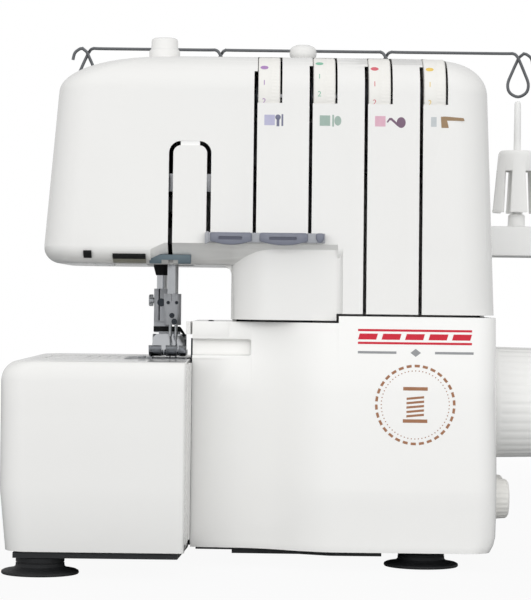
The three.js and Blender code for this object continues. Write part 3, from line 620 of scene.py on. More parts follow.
def makeRearCasing():
    outer = weld(
        headSolid("rear_casing_shell", 0), columnSolid("column", 0, 120), lowerSolid("lower", 0),
        archFillet("fillet"),
    )
    hollow = weld(headSolid("hollow", wall), columnSolid("column", wall, 100), lowerSolid("lower", wall))
    keep = weld(
        cutter((-400, casing["split"] + 0.3, 0), (400, 200, 400)),
        cutter((-400, lower["front"], 0), (400, 100, lower["deck"] + 0.2)),
        cutter((60, lower["front"], 0), (400, 100, coverTop["right"])),
    )
    combine(outer, keep, "INTERSECT")
    carve(outer, hollow, cutter((-75, -80, 0), (-32, -51.3, 160)))
    nose = carve(
        cutter((-65, -59, 133.5), (-60, -45.3, lower["deck"])), cutter((-62.4, -70, 100), (-50, -51.3, 160)),
    )
    weld(outer, nose)
    carve(
        outer,
        cutter((-75, -47, 0), (-55, 59, 20.5)),
        cutter((-75, -80, 70), (-55, 8, 133.5)),
        cutter((-61.6, -44.8, 130), (-55, 8, 138.4)),
        cutter((-75, -44.8, 70), (-55, -30, 160)),
        cutter((-87, 28, 150), (-74, 100, 192)),
        bore("x", 9, 100, 130, 0, 94),
        bore("x", 9.6, 100, 130, -30, 38),
        bore("x", 9.6, 100, 130, 4, 38),
        cutter((100, 32.4, 27.2), (130, 43.6, 44.8)),
        cutter((100, 48.6, 27.4), (130, 65.4, 44.6)),
        bore("z", 9.6, 250, 320, presserX, presserY),
    )
    return outer


rearCasing = bevel(makeRearCasing(), 0.3, 2, 50)
standFor(rearCasing, "rear_casing")
print("rear casing:", len(rearCasing.data.polygons), "faces")


cover = {"crease": 45.5, "bottom": 10, "pocket": ((-64, -80, 121.5), (-27, -51, 131.2))}


def bezier(a, b, c, d, steps):
    line = []
    for i in range(steps + 1):
        t = i / steps
        weights = ((1 - t) ** 3, 3 * t * (1 - t) ** 2, 3 * t * t * (1 - t), t**3)
        line.append(tuple(sum(w * p[k] for w, p in zip(weights, (a, b, c, d))) for k in (0, 1)))
    return line


def share(value, low, high):
    return min(1, max(0, (value - low) / (high - low)))


def makeLooperCover():
    outer = [(-61.2, -58), (-48, -59)]
    outer += bezier((-34, -60), (-8, -62), (-2, -85), (26, -85), 28)
    outer += [(60, -85)] + bezier((101, -85), (109, -85), (115.4, -79), (115.4, -70), 14) + [(115.4, -60.8)]
    inner = []
    for i, (x, y) in enumerate(outer):
        before, after = outer[max(0, i - 1)], outer[min(len(outer) - 1, i + 1)]
        along = Vector((after[0] - before[0], after[1] - before[1])).normalized()
        inner.append((x - along.y * wall, y + along.x * wall))
    outline = outer + inner[::-1]
    levels = []
    for z, back, right in [
        (cover["bottom"], 5, -3.5), (14, 4.6, -1.4), (19, 4.1, -0.2), (36, 1.5, 0),
        (cover["crease"] - 1.4, 0.2, 0), (cover["crease"] + 1.4, 0, 0), (100, 0, -0.9),
        (coverTop["right"], 0, -1.6),
    ]:
        ring = [(x + right * share(x, 90, 115.4), y + back * share(y, -62, -82)) for x, y in outline]
        levels.append((z, ring))
    piece = weld(
        loft("looper_cover_panel", levels),
        cutter((-61.2, -59.6, 119.5), (-24, -48, 133.2)),
        cutter((-61.2, -60, 133), (-40, -52.5, coverTop["left"])),
        cutter((30, -79.5, 15.5), (38, -67.5, 22.5)),
        cutter((72, -79.5, 15.5), (80, -67.5, 22.5)),
    )
    carve(
        piece,
        block("pocket", *cover["pocket"], 1.5),
        cutter((-80, -100, coverTop["left"]), (coverTop["stepX"], -20, 160)),
        bore("x", 2.2, 0, 110, -71, 19),
        cutter((100, -64.5, 0), (120, -50, 16.2)),
    )
    return bevel(piece, 0.35, 2, 50)


standFor(makeLooperCover(), "looper_cover", material=materials["shell_white_painted_brighter"])
catch = turned(
    "cover_catch", [(0, 0), (1.9, 0), (1.7, 0.6), (1.0, 0.95), (0, 1.0)],
    (-50.5, -56, coverTop["left"] - 0.3),
)
addOn(catch, bodyOf["looper_cover"], materials["black_rubber"])
print("looper cover made")


table = {
    "left": -165, "right": -62.3, "front": -135, "back": 62, "bottom": 13.8, "top": 119, "crease": 48,
    "crownHeight": 11, "crown": (10, 0, 6, 6), "corner": 14, "tuck": 3,
}


def tableSolid(name, inset):
    radii = [max(0.3, r - inset) for r in (table["corner"], 2, 2, table["corner"])]
    left, _, front, back = table["crown"]

    def level(z, pinch, tuck):
        faces = (
            table["left"] + inset + pinch * left + tuck,
            table["right"] + (20 if inset else 0),
            table["front"] + inset + pinch * front + tuck,
            table["back"] - inset - pinch * back - tuck,
        )
        return (z, roundedRectangle(*faces, radii))

    foot = table["top"] - table["crownHeight"]
    top = table["top"] - inset
    levels = [level(0 if inset else table["bottom"], 0, table["tuck"])]
    levels += [level(table["crease"] - 1.5, 0, 0.15), level(table["crease"] + 1.5, 0, 0), level(80, 0, 0)]
    for i in range(11):
        angle = math.radians(90 * i / 10)
        levels.append(level(foot + (top - foot) * math.sin(angle), 1 - math.cos(angle), 0))
    return loft(name, levels)


armLow, armHigh = boxOf("arm_plate")
workTable = carve(
    tableSolid("work_table_cover", 0), tableSolid("hollow", wall),
    cutter((armLow.x - 1, armLow.y - 1, 100), (0, armHigh.y + 1, 130)),
)
endWall = combine(
    tableSolid("end_wall", 0), cutter((table["right"] - wall, -200, 0), (0, armLow.y - 2.5, 200)),
    "INTERSECT",
)
weld(workTable, endWall, cutter((-62.5, -61.9, 14.5), (-61.35, -59.4, 117)))
standFor(bevel(workTable, 0.45, 2, 50), "work_table")
print("work table made")


# A countersunk screw with a cross recess, facing up unless it is turned.
def makeScrew(name, place, radius, direction=(0, 0, 1)):
    head = turned(
        name, [(0, -1.2), (radius * 0.6, -1.2), (radius, -0.1), (radius, 0), (radius * 0.8, 0.22), (0, 0.3)],
        (0, 0, 0), steps=32,
    )
    half = radius * 0.16
    reach = radius * 0.62
    carve(
        head, cutter((-reach, -half, -0.25), (reach, half, 1)),
        cutter((-half, -reach, -0.25), (half, reach, 1)),
    )
    turn = Vector((0, 0, 1)).rotation_difference(Vector(direction)).to_matrix().to_4x4()
    head.data.transform(Matrix.Translation(Vector(place) * mm) @ turn)
    return head


armPlate = block("cloth_plate", tuple(armLow), tuple(armHigh), 0.4)
carve(armPlate, bore("z", 2, 100, 130, -140, -52))
standFor(armPlate, "arm_plate")
plateLow, plateHigh = boxOf("needle_plate")
needlePlate = carve(
    block("needle_plate_steel", tuple(plateLow), tuple(plateHigh), 0.3),
    *[cutter((x0, -49, 100), (x1, -14, 130)) for x0, x1 in ((-93.8, -89.2), (-88.3, -84.7))],
    extruded("hole", roundedRectangle(-77, -71, -35, -29, [2] * 4, 6), 100, 130),
    bore("z", 1.6, 100, 130, -97.5, -53),
)
standFor(bevel(needlePlate, 0.15, 2, 50), "needle_plate")
for i, (x, y) in enumerate([(-97.5, -53), (-97.5, -11), (-68.4, -11)]):
    fixing = makeScrew(f"needle_plate_screw_{i + 1}", (x, y, plateHigh.z - 0.1), 2.3)
    addOn(fixing, "machine", materials["polished_steel"])
guideLines = []
for i in range(4):
    x = -124 + 6 * i
    line = block(f"seam_guide_line_{i + 1}", (x, -56, armHigh.z), (x + 0.4, -8, armHigh.z + 0.05))
    guideLines.append(line)
addOn(gather("seam_guide_lines", guideLines), "machine", inks["grey"])


# Each suction foot is a cup with a neck.
footProfile = [
    (0, 1.6), (11, 1.3), (16, 0.5), (19.5, 0), (21.3, 0.1), (21.7, 0.7), (21.5, 1.7), (20.4, 2.3),
    (17.4, 2.8), (15, 3.4), (13.8, 4.3), (13.6, 5.2), (13.6, 6.2), (13.1, 6.4), (13.1, 6.8), (13.6, 7),
]
for node in ("foot_front_left", "foot_front_right", "foot_rear_left", "foot_rear_right"):
    low, high = boxOf(node)
    profile = [*footProfile, (13.6, high.z - 0.4), (13.2, high.z), (0, high.z)]
    cup = turned(node + "_cup", profile, ((low.x + high.x) / 2, (low.y + high.y) / 2, 0), steps=72)
    standFor(cup, node)
print("plates and feet made")


dialLook = {"radius": 23.2, "ribs": 72, "ribDepth": 0.22, "step": 26.5, "size": 4.4, "inkX": -2.9}


# A wheel with eased rims and a fluted band at its right for the fingertip.
def makeDial(name, centre):
    half, radius, depth = 6.3, dialLook["radius"], dialLook["ribDepth"]
    stations = [
        (-half, 2.7, 0), (-half, radius - 0.8, 0), (0.25 - half, radius - 0.25, 0), (0.8 - half, radius, 0),
        (0.6, radius, 0), (1.0, radius - 0.15, 0), (1.4, radius, 1), (half - 1.0, radius, 1),
        (half - 0.5, radius - 0.2, 0), (half, radius - 0.8, 0), (half, 2.7, 0),
    ]

    def ribAt(_, angle):
        return depth * (0.5 + 0.5 * math.cos(dialLook["ribs"] * angle))

    return ribbed(name, stations, centre, dialLook["ribs"] * 4, ribAt, loop=True)


def printText(name, text, size):
    curve = bpy.data.curves.new(name, "FONT")
    curve.body = text
    curve.size = size * mm
    curve.align_x = "CENTER"
    curve.align_y = "CENTER"
    curve.extrude = 0.02 * mm
    curve.resolution_u = 4
    letter = bpy.data.objects.new(name, curve)
    scene.collection.objects.link(letter)
    graph = bpy.context.evaluated_depsgraph_get()
    mesh = bpy.data.meshes.new_from_object(letter.evaluated_get(graph))
    discard(letter)
    flat = bpy.data.objects.new(name, mesh)
    scene.collection.objects.link(flat)
    return flat


# Moves a flat mark, drawn in X and Y, to a place where up and out are the given directions.
def layOn(mark, place, up, out):
    right = Vector(up).cross(Vector(out)).normalized()
    basis = Matrix((right, Vector(up).normalized(), Vector(out).normalized())).transposed().to_4x4()
    mark.data.transform(Matrix.Translation(Vector(place) * mm) @ basis)
    return mark


def makeDialMarks(name, centre, phase):
    marks = []
    for i in range(12):
        angle = math.radians(phase - dialLook["step"] * i)
        out = Vector((0, -math.cos(angle), math.sin(angle)))
        up = Vector((0, math.sin(angle), math.cos(angle)))
        place = Vector(centre) + Vector((dialLook["inkX"], 0, 0)) + out * (dialLook["radius"] + 0.03)
        if i == 0:
            oval = [(2.3 * math.cos(t * math.pi / 16), 1.5 * math.sin(t * math.pi / 16)) for t in range(32)]
            mark = extruded("oval", oval, -0.02, 0.02)
        else:
            mark = printText("numeral", str(i % 10), dialLook["size"])
        marks.append(layOn(mark, place, up, out))
    return gather(name, marks)


for number, (colour, phase) in enumerate(
    [("purple", 43), ("green", 54), ("rose", 43), ("yellow", 43)], start=1,
):
    low, high = wheels[number - 1]
    centre = (low + high) / 2
    node = f"tension_dial_{number}"
    standFor(makeDial(node + "_wheel", centre), node, angle=50)
    marks = makeDialMarks(f"dial_numbers_{number}", centre, phase)
    addOn(marks, bodyOf[node], inks[colour])
print("tension dials made")


guideLow, guideHigh = boxOf("thread_guide_bar")
guideLook = {
    "lobes": ((-50.9, -27.2), (-22.8, 4.6), (9.2, 13.8)), "bottom": 185.1, "top": 192.2, "slotZ": 189.2,
}


# Three boat-shaped lobes on a clear spine, each with a sunk slot; a darker smoke colour laid in the slot is painted
# shade.
def makeGuideBar():
    lobes, insets = [], []
    top, bottom, slotZ = guideLook["top"], guideLook["bottom"], guideLook["slotZ"]
    for x0, x1 in guideLook["lobes"]:
        middle, half = (x0 + x1) / 2, (x1 - x0) / 2
        sag = min(1.9, half * 0.16)
        lowerEdge = []
        for i in range(-8, 9):
            t = i / 8
            lowerEdge.append((middle + half * t, bottom + 1.9 - sag + 2.2 * t * t))
        outline = [
            *lowerEdge, *arc((x1 - 1.3, top - 1.3), 1.3, 0, 90, 4),
            *arc((x0 + 1.3, top - 1.3), 1.3, 90, 180, 4),
        ]
        lobe = extruded("lobe", outline, guideLow.y, guideHigh.y - 3, "y", 0.8)
        reach = half * 0.6
        if half > 5:
            pocket = roundedRectangle(
                middle - reach, middle + reach * 0.9, slotZ - 1.2, slotZ + 0.7, [0.7] * 4, 5,
            )
            carve(lobe, extruded("pocket", pocket, guideLow.y - 1, guideLow.y + 0.9, "y"))
            insetOutline = roundedRectangle(
                middle - reach + 0.1, middle + reach * 0.9 - 0.1, slotZ - 1.1, slotZ + 0.6, [0.6] * 4, 5,
            )
            insets.append(extruded("inset", insetOutline, guideLow.y + 0.6, guideLow.y + 1, "y"))
        lobes.append(lobe)
    return gather("thread_guide_lobes", lobes), gather("thread_guide_slot_painted_shade", insets)


guideBar, guideSlotShade = makeGuideBar()
standFor(guideBar, "thread_guide_bar")
# The darker smoke in the slots is painted shade.
addOn(guideSlotShade, "machine", ink("smoke_slot_painted_shade", "#5D606E", "#525563"))
spine = gather("thread_guide_spine", [
    block(
        "rail", (guideLow.x + 1.6, guideLow.y + 1.6, guideLow.z + 0.6),
        (guideHigh.x - 0.2, guideHigh.y - 2.2, guideHigh.z - 0.6), 0.4,
    ),
    extruded(
        "clip",
        [
            (guideLow.x - 0.4, guideLow.z - 0.6), (guideLow.x + 2, guideLow.z + 0.4),
            (guideLow.x + 2, guideHigh.z - 0.3), (guideLow.x + 0.6, guideHigh.z),
            (guideLow.x - 0.4, guideHigh.z - 1),
        ],
        guideLow.y + 2, guideHigh.y - 1.5, "y", 0.4,
    ),
])
addOn(spine, "machine", materials["clear"])


barLow, barHigh = boxOf("needle_bar")
needleX, needleY = (barLow.x + barHigh.x) / 2, (barLow.y + barHigh.y) / 2
standFor(rod("needle_bar_ground", "z", 3.3, barLow.z, barHigh.z, needleX, needleY, 0.4), "needle_bar")


def makeNeedleClamp():
    low, high = boxOf("needle_clamp")
    front = low.y + 2.5
    body = extruded(
        "needle_clamp_block", roundedRectangle(-79, -69, front, high.y, [3, 3, 1.2, 1.2], 6), low.z,
        high.z - 2, "z",
    )
    carve(body, bore("z", 3.42, low.z + 7, high.z + 5, needleX, needleY))
    carve(body, cutter((needleX - 0.4, front - 1, low.z + 14), (needleX + 0.4, needleY, high.z + 1)))
    carve(body, cutter((low.x - 1, front - 1, low.z - 1), (low.x + 2.2, needleY, low.z + 4)))
    return bevel(body, 0.4, 2, 40)


standFor(makeNeedleClamp(), "needle_clamp", material=materials["satin_steel"])
clampLow = boxOf("needle_clamp")[0]
for i, (x, z, radius) in enumerate(
    [(-74.1, 144.2, 1.5), (-72.6, 140.6, 1.7), (-76.4, 151.8, 1.0), (-71.4, 151.8, 1.0)],
):
    profile = [
        (0, 0), (radius, 0), (radius, 0.9), (radius - 0.25, 1.15), (radius * 0.55, 1.15), (radius * 0.5, 0.4),
        (0, 0.4),
    ]
    socket = turned("socket", [(r, -h) for r, h in profile][::-1], (x, clampLow.y + 2.6, z), "y", 32)
    addOn(socket, "needle_unit", materials["dark_steel"])
    socket.name = f"clamp_set_screw_{i + 1}"
for node in ("needle_left", "needle_right"):
    low, high = boxOf(node)
    profile = [
        (0, 0), (0.22, 1.2), (0.42, 3.6), (0.46, 5), (0.46, 21), (0.7, 22.6), (1.0, 24), (1.0, 35.6),
        (0.7, 36), (0, 36),
    ]
    standFor(
        turned(node + "_steel", profile, ((low.x + high.x) / 2, (low.y + high.y) / 2, low.z), "z", 24), node,
    )


presserLow, presserHigh = boxOf("presser_bar")
presserBar = gather("presser_bar_ground", [
    rod("bar", "z", 3, presserLow.z, presserHigh.z, presserX, presserY, 0.4),
    rod("collar", "z", 3.9, 208, 213, presserX, presserY, 0.4),
])
standFor(presserBar, "presser_bar")


def makeAnkle():
    upper = extruded(
        "presser_ankle_block", roundedRectangle(-85.4, -76, -25.8, -14, [2.2, 1, 1, 2.2], 6), 134, 160, "z",
    )
    weld(upper, block("tongue", (-82.2, -25.8, 125.6), (-69.8, -14, 137)))
    carve(
        upper, bore("z", 3.1, 137.8, 170, presserX, presserY),
        bore("x", 1.7, -90, -60, -20, 129),
    )
    carve(upper, cutter((-82.6, -27, 141), (-81.8, -19, 161)), cutter((-88, -27, 139.4), (-79, -24.6, 140.4)))
    return bevel(upper, 0.45, 2, 40)


standFor(makeAnkle(), "presser_ankle", material=materials["satin_steel"])


# A thumbscrew with a milled rim.
def makeThumbScrew():
    stations = [
        (-88.6, 0.01, 0), (-88.6, 3, 0), (-88.2, 3.5, 1), (-86, 3.5, 1), (-85.8, 1.6, 0), (-85, 1.6, 0),
    ]
    return ribbed("ankle_thumb_screw", stations, (0, -20, 153), 96, lambda i, _: 0.25 * (i % 4 < 2))


addOn(makeThumbScrew(), "presser_unit", materials["polished_steel"], angle=25)
ankleScrew = turned(
    "ankle_screw", [(0, 0.6), (1.2, 0.6), (1.3, 1.2), (2.2, 1.1), (2.4, 0.7), (2.4, 0), (0, 0)][::-1],
    (-81, -26, 151.8), "y", 32,
)
addOn(ankleScrew, "presser_unit", materials["dark_steel"])


def makeFoot():
    low, high = boxOf("presser_foot")
    sole = [
        (low.y + 2.4, low.z + 2.2), (low.y, low.z + 6), (low.y + 0.9, low.z + 6.4),
        (low.y + 4.2, low.z + 3.6), (-14, low.z + 3.4), (-12, low.z + 1.6), (-13, low.z), (low.y + 7, low.z),
    ]
    foot = extruded("presser_foot_sole", sole[::-1], low.x, high.x, "x")
    carve(
        foot,
        extruded("slot", roundedRectangle(-78.5, -68.5, -36, -28, [2] * 4, 5), 110, 135),
        extruded("gap", roundedRectangle(-79.5, -77, -70, -33, [0.5] * 4, 3), 110, 135),
        extruded("gap", roundedRectangle(-70.6, -69.4, -70, -33, [0.4] * 4, 3), 110, 135),
    )
    cheek = [(-25, low.z + 3), (-14.6, low.z + 3), (-14.6, 131), (-17, 133), (-22.5, 133), (-25, 130)]
    walls = [extruded("cheek", cheek, x0, x1, "x") for x0, x1 in ((-86, -82.6), (-69.4, -66))]
    shield = [(-86.6, 122.6), (-66, 122.6), (-67.2, 131.2), (-69.4, 133), (-83.6, 133), (-85.6, 131.2)]
    weld(foot, *walls)
    weld(foot, extruded("shield", shield, -26.3, -24.4, "y"))
    return gather("presser_foot_body", [bevel(foot, 0.3, 2, 40), rod("pin", "x", 1.4, -84, -68, -20, 129)])


standFor(makeFoot(), "presser_foot")
hookPlate = extruded(
    "needle_guard_plate",
    [
        (-85.4, 134.6), (-69.6, 134.6), (-66.6, 131.6), (-66, 132.4), (-68.6, 136.4), (-69.6, 137.6),
        (-85.4, 137.6),
    ],
    -26.36, -25.86, "y", 0.12,
)
addOn(hookPlate, "presser_unit", materials["shadow_gap"])


# Under the head: the bars' guide plate, the lamp, the thread cutter, a guard and a seal.
guideLowBar, guideHighBar = boxOf("lower_bar_guide")
barGuide = carve(
    block(
        "bar_guide_plate", (guideLowBar.x, guideLowBar.y, 174.3), (guideHighBar.x, guideHighBar.y, 178.6),
        0.9,
    ),
    cutter((-81, -42, 160), (-67, -25.6, 180)),
    bore("z", 3.3, 160, 180, presserX, presserY),
)
standFor(barGuide, "lower_bar_guide")
lampLow, lampHigh = boxOf("lamp_lens")
standFor(block("lamp_lens_opal", tuple(lampLow), tuple(lampHigh), 1.4), "lamp_lens")


# A strip laid on the curved lower edge of the head, between two angles of that curve.
def bellyStrip(name, x0, x1, start, end):
    rise, depth = casing["bellyTop"] - casing["bottom"], casing["belly"][2]
    line = []
    for i in range(7):
        angle = math.radians(start + (end - start) * i / 6)
        line.append(
            (
                casing["front"] + depth * (1 - math.sin(angle)),
                casing["bottom"] + rise * (1 - math.cos(angle)),
            ),
        )
    outline = [(y - 0.25, z - 0.25) for y, z in line] + [(y + 0.9, z + 0.9) for y, z in line[::-1]]
    return extruded(name, outline[::-1], x0, x1, "x")


addOn(
    bellyStrip("thread_cutter_blade", -106.8, -87.9, 44, 58), "machine", materials["shadow_gap"],
)
cutterLip = bellyStrip("thread_cutter_lip", -106.8, -87.9, 20, 44)
addOn(cutterLip, "machine", ink("moulded_olive_nylon", "#8C8A7C", "#7D7B6E"))
# The thread hole is a black strip on the belly: painted shadow of the hole.
addOn(
    bellyStrip("thread_hole_painted_shadow", -123.4, -118.8, 46, 68), "machine", materials["shadow_gap"],
)
guard = carve(
    block("needle_bar_guard", (-86, -75.2, 174.2), (-62, -72.6, 179.6), 0.5),
    cutter((-79, -80, 170), (-69.5, -70, 176.4)),
)
addOn(guard, "machine", materials["blued_steel"])
seal = turned(
    "presser_bar_seal", [(3.3, 168), (3.6, 168), (4.9, 172.6), (5, 174.3), (3.3, 174.3), (3.3, 168)],
    (presserX, presserY, 0), "z", 40,
)
addOn(seal, "machine", materials["shadow_gap"])


# The take-up lever crosses the channel behind it.
takeLow, takeHigh = boxOf("take_up_lever")
bar = extruded(
    "lever_bar", roundedRectangle(takeLow.x, takeHigh.x, 215.5, 226, [2] * 4, 5), takeLow.y, takeLow.y + 3,
    "y", 0.4,
)
lever = gather("take_up_lever_steel", [
    bar,
    block("stem", (-63, takeLow.y + 1.4, 217.5), (-58, -12, 224.5), 0.6),
    rod("hub", "x", 6, -63.2, -57.8, -12, 221, 0.5),
])
standFor(lever, "take_up_lever", material=materials["brushed_steel"])
bridge = block("take_up_channel_crown", (-68.6, -78.6, 241.2), (-57.6, -76.9, 245.4))
addOn(bridge, "machine", materials["shell_grey"])


knobHigh = boxOf("pressure_knob")[1]
knobProfile = [
    (0, -25), (5.4, -25), (5.4, 0), (8.6, 0.3), (9.1, 0.8), (9.2, 4.8), (8.9, 5.6), (8.2, 6.2), (8.0, 7.2),
    (7.9, 11.2), (7.5, 12.3), (6.4, 12.9), (5.2, 13.1), (4.6, 12.7), (0, 12.6),
]
standFor(
    turned("pressure_knob_cap", knobProfile, (presserX, presserY, knobHigh.z - 13.2), "z", 72),
    "pressure_knob",
)
indexLine = block(
    "pressure_knob_line", (presserX - 0.35, presserY - 4.4, knobHigh.z - 0.62),
    (presserX + 0.35, presserY + 0.5, knobHigh.z - 0.55),
)
addOn(indexLine, bodyOf["pressure_knob"], inks["grey"])
print("sewing head made")


wheelHigh = boxOf("handwheel")[1]
wheelLook = {"radius": 33.5, "length": 37.7, "axisZ": 94, "flutes": 36, "fluteDepth": 0.5}


def makeHandwheel():
    length, radius = wheelLook["length"], wheelLook["radius"]
    stations = [
        (-2, 0.01, 0), (-2, 8, 0), (0, 8, 0), (0, radius - 1.6, 0), (0.4, radius - 0.5, 0), (1.4, radius, 0),
        (4, radius, 0), (5, radius - 0.1, 1), (25, radius - 0.5, 1), (26.5, radius - 0.6, 0),
        (length - 6, radius - 0.9, 0), (length - 3.2, radius - 1.8, 0), (length - 1.2, radius - 3.6, 0),
        (length - 0.2, radius - 6, 0), (length, radius - 7.4, 0), (length - 0.6, radius - 9, 0),
        (length - 3.6, radius - 10.6, 0), (length - 5, radius - 12, 0), (length - 5.4, 14, 0),
        (length - 5, 9.4, 0), (length - 5, 0.01, 0),
    ]

    def fluteAt(_, angle):
        return wheelLook["fluteDepth"] * max(0, math.cos(wheelLook["flutes"] * angle)) ** 2

    centre = (wheelHigh.x - length, 0, wheelLook["axisZ"])
    return ribbed("handwheel_rim", stations, centre, wheelLook["flutes"] * 6, fluteAt)


standFor(makeHandwheel(), "handwheel", material=materials["shell_white_painted_brighter"], angle=40)
arrow = [(-2, 19.2), (2, 19.2), (2, 17.6), (4.4, 20.6), (2, 23.6), (2, 22), (-2, 22)]
wheelArrow = extruded(
    "handwheel_arrow", [(y, wheelLook["axisZ"] + z) for y, z in arrow], wheelHigh.x - 5.2, wheelHigh.x - 4.86,
    "x",
)
addOn(wheelArrow, bodyOf["handwheel"], inks["grey"])


knobLook = {"face": 115.9, "flutes": 24, "fluteDepth": 0.45, "tickRadius": 16.2, "ticks": 7}


def makeSideKnob(node):
    low, high = boxOf(node)
    y, z = (low.y + high.y) / 2, (low.z + high.z) / 2
    face = knobLook["face"]
    stations = [
        (-10, 0.01, 0), (-10, 9, 0), (0, 9, 0), (0.1, 12, 0), (0.6, 12.4, 0), (1.6, 12.4, 0), (2.2, 12.1, 1),
        (8.4, 11.6, 1), (9.4, 11, 0), (10.2, 9.8, 0), (10.4, 8.6, 0), (10.4, 0.01, 0),
    ]

    def fluteAt(_, angle):
        return knobLook["fluteDepth"] * (0.5 + 0.5 * math.cos(knobLook["flutes"] * angle))

    standFor(ribbed(node + "_knob", stations, (face, y, z), 120, fluteAt), node, angle=35)
    pointer = block(node + "_pointer", (face + 10.3, y - 0.5, z + 2.5), (face + 10.46, y + 0.5, z + 9))
    addOn(pointer, bodyOf[node], inks["slate"])
    ticks = []
    for i in range(knobLook["ticks"]):
        angle = math.radians(-45 + 45 * i)
        up = Vector((0, math.cos(angle), math.sin(angle)))
        place = Vector((lower["right"] + 0.01, y, z)) + up * knobLook["tickRadius"]
        tick = block("tick", (-0.3, -1.1, -0.02), (0.3, 1.1, 0.04))
        ticks.append(layOn(tick, place, up, (1, 0, 0)))
    addOn(gather(node + "_scale", ticks), "machine", inks["slate"])


makeSideKnob("stitch_length_dial")
makeSideKnob("differential_dial")
switchLow, switchHigh = boxOf("power_switch")
rockerOutline = [
    (108, 28.6), *arc((110, 36), 8.5, -58, -42, 4), (116.2, 31.4), (115.6, 36), (116.2, 40.6),
    *arc((110, 36), 8.5, 42, 58, 4), (108, 43.4),
]
rocker = extruded("power_rocker", rockerOutline, switchLow.y, switchHigh.y, "y", 0.3)
standFor(rocker, "power_switch")
inletLow, inletHigh = boxOf("power_inlet")
socketBody = carve(
    block("mains_inlet_shroud", tuple(inletLow), tuple(inletHigh), 0.8),
    extruded("well", roundedRectangle(51, 63, 30, 42, [1.5, 1.5, 3.5, 3.5], 5), 104, 120, "x"),
)
pins = [rod("pin", "x", 1.1, 103, 113, y, 36, 0.4, 20) for y in (54.4, 59.6)]
standFor(socketBody, "power_inlet")
addOn(gather("mains_inlet_pins", pins), "machine", materials["brushed_steel"])
print("handwheel and controls made")


standLow, standHigh = boxOf("spool_stand")
spoolX = [(boxOf(f"cone_holder_{n}")[0].x + boxOf(f"cone_holder_{n}")[1].x) / 2 for n in (1, 2, 3, 4)]
spoolY, poleX = 106, 3.5
trayTop = 203


def makeStand():
    def ring(inset, corner):
        return roundedRectangle(
            standLow.x + inset, standHigh.x - inset, 76 + inset, standHigh.y - inset, [corner] * 4, 12,
        )

    levels = [
        (184, ring(0.6, 13.4)), (184.6, ring(0, 14)), (201.2, ring(0, 14)), (202.4, ring(0.5, 13.5)),
        (trayTop, ring(1.6, 12.4)),
    ]
    tray = carve(loft("spool_stand_tray", levels), extruded("hollow", ring(wall, 11.4), 180, 200))
    well = loft("recess", [(trayTop - 0.8, ring(6, 8)), (trayTop + 1, ring(5.4, 8.6))])
    carve(tray, well)
    for x in spoolX:
        seat = turned(
            "seat",
            [(0, trayTop - 2.5), (17, trayTop - 2.5), (17.6, trayTop - 0.4), (16.6, trayTop), (0, trayTop)],
            (x, spoolY, 0), "z", 64,
        )
        weld(tray, seat)
        pin = turned(
            "pin",
            [
                (0, -2), (6.4, -2), (6.4, 0.4), (5.6, 1.2), (5.4, 7.6), (4.9, 8.4), (2.9, 9.2), (2.7, 12),
                (2.3, 60), (2.1, 80.6), (1.5, 81.9), (0, 82.4),
            ],
            (x, spoolY, trayTop), "z", 40,
        )
        weld(tray, pin)
    tab = block("bracket", (-30, 72.4, 186), (37, 80, 199), 0)
    boss = turned(
        "boss", [(0, 184), (10, 184), (10, trayTop - 2), (0, trayTop - 2)], (poleX, spoolY, 0), "z", 48,
    )
    collar = turned(
        "collar",
        [(0, trayTop - 3), (10.5, trayTop - 3), (10.5, trayTop - 0.2), (9.8, trayTop), (0, trayTop)],
        (poleX, spoolY, 0), "z", 48,
    )
    weld(tray, tab, boss, collar)
    carve(tray, bore("z", 6.4, 100, 250, poleX, spoolY))
    return bevel(tray, 0.3, 2, 55)


standFor(makeStand(), "spool_stand")


def makeCone(name, x, foot):
    profile = [
        (15.4, 0), (15.8, 0.4), (15.8, 1.6), (15.5, 2), (12.4, 36.4), (12.1, 38.2), (11.4, 39.6),
        (10.4, 40.3), (4.6, 40.4), (3.4, 40), (3.4, 0.6), (4.6, 0.6), (4.6, 37), (10, 37), (10.8, 36.2),
        (14, 0.8), (14.2, 0), (15.4, 0),
    ]
    shell = turned(name, profile, (x, spoolY, foot), "z", 96)
    for degrees in (0, 60, 120):
        windowBar = block("window", (-20, -2.6, -1), (20, 2.6, 27), 0)
        carve(windowBar, rod("core", "z", 8, -5, 50, 0, 0, 0.05))
        turn = Matrix.Rotation(math.radians(degrees), 4, "Z")
        windowBar.data.transform(Matrix.Translation(Vector((x, spoolY, foot)) * mm) @ turn)
        carve(shell, windowBar)
    return bevel(shell, 0.25, 2, 50)


for number, x in enumerate(spoolX, start=1):
    node = f"cone_holder_{number}"
    standFor(makeCone(node + "_cone", x, boxOf(node)[0].z), node, material=materials["shell_white_painted_brighter"])
print("spool stand made")


def makeTube(name, outer, inner, low, high):
    lip = 0.4
    profile = [
        (inner, low), (outer - lip, low), (outer, low + lip), (outer, high - lip), (outer - lip, high),
        (inner, high), (inner, low),
    ]
    return turned(name, profile, (poleX, spoolY, 0), "z", 48)


standFor(makeTube("pole_tube_chromed", 6.2, 4.9, 150, 296), "pole_tube")
standFor(makeTube("pole_middle_chromed", 4.6, 3.3, 152, 303), "pole_middle")
standFor(rod("pole_top_chromed", "z", 3, 154, 312, poleX, spoolY, 0.3), "pole_top")
wireZ = 316.2
holderProfile = [
    (0, 306), (5.2, 306), (5.6, 306.5), (5.9, 309), (7.4, 311.4), (8.6, 312.8), (8.8, 314), (8.8, 316),
    (8.3, 317.6), (7, 318.8), (4.6, 319.9), (0, 320.2),
]
holder = turned("guide_holder_cap", holderProfile, (poleX, spoolY, 0), "z", 72)
carve(
    holder, bore("z", 3.1, 300, 312.2, poleX, spoolY),
    bore("x", 1.2, poleX - 20, poleX + 20, spoolY, wireZ),
)
standFor(holder, "guide_holder")


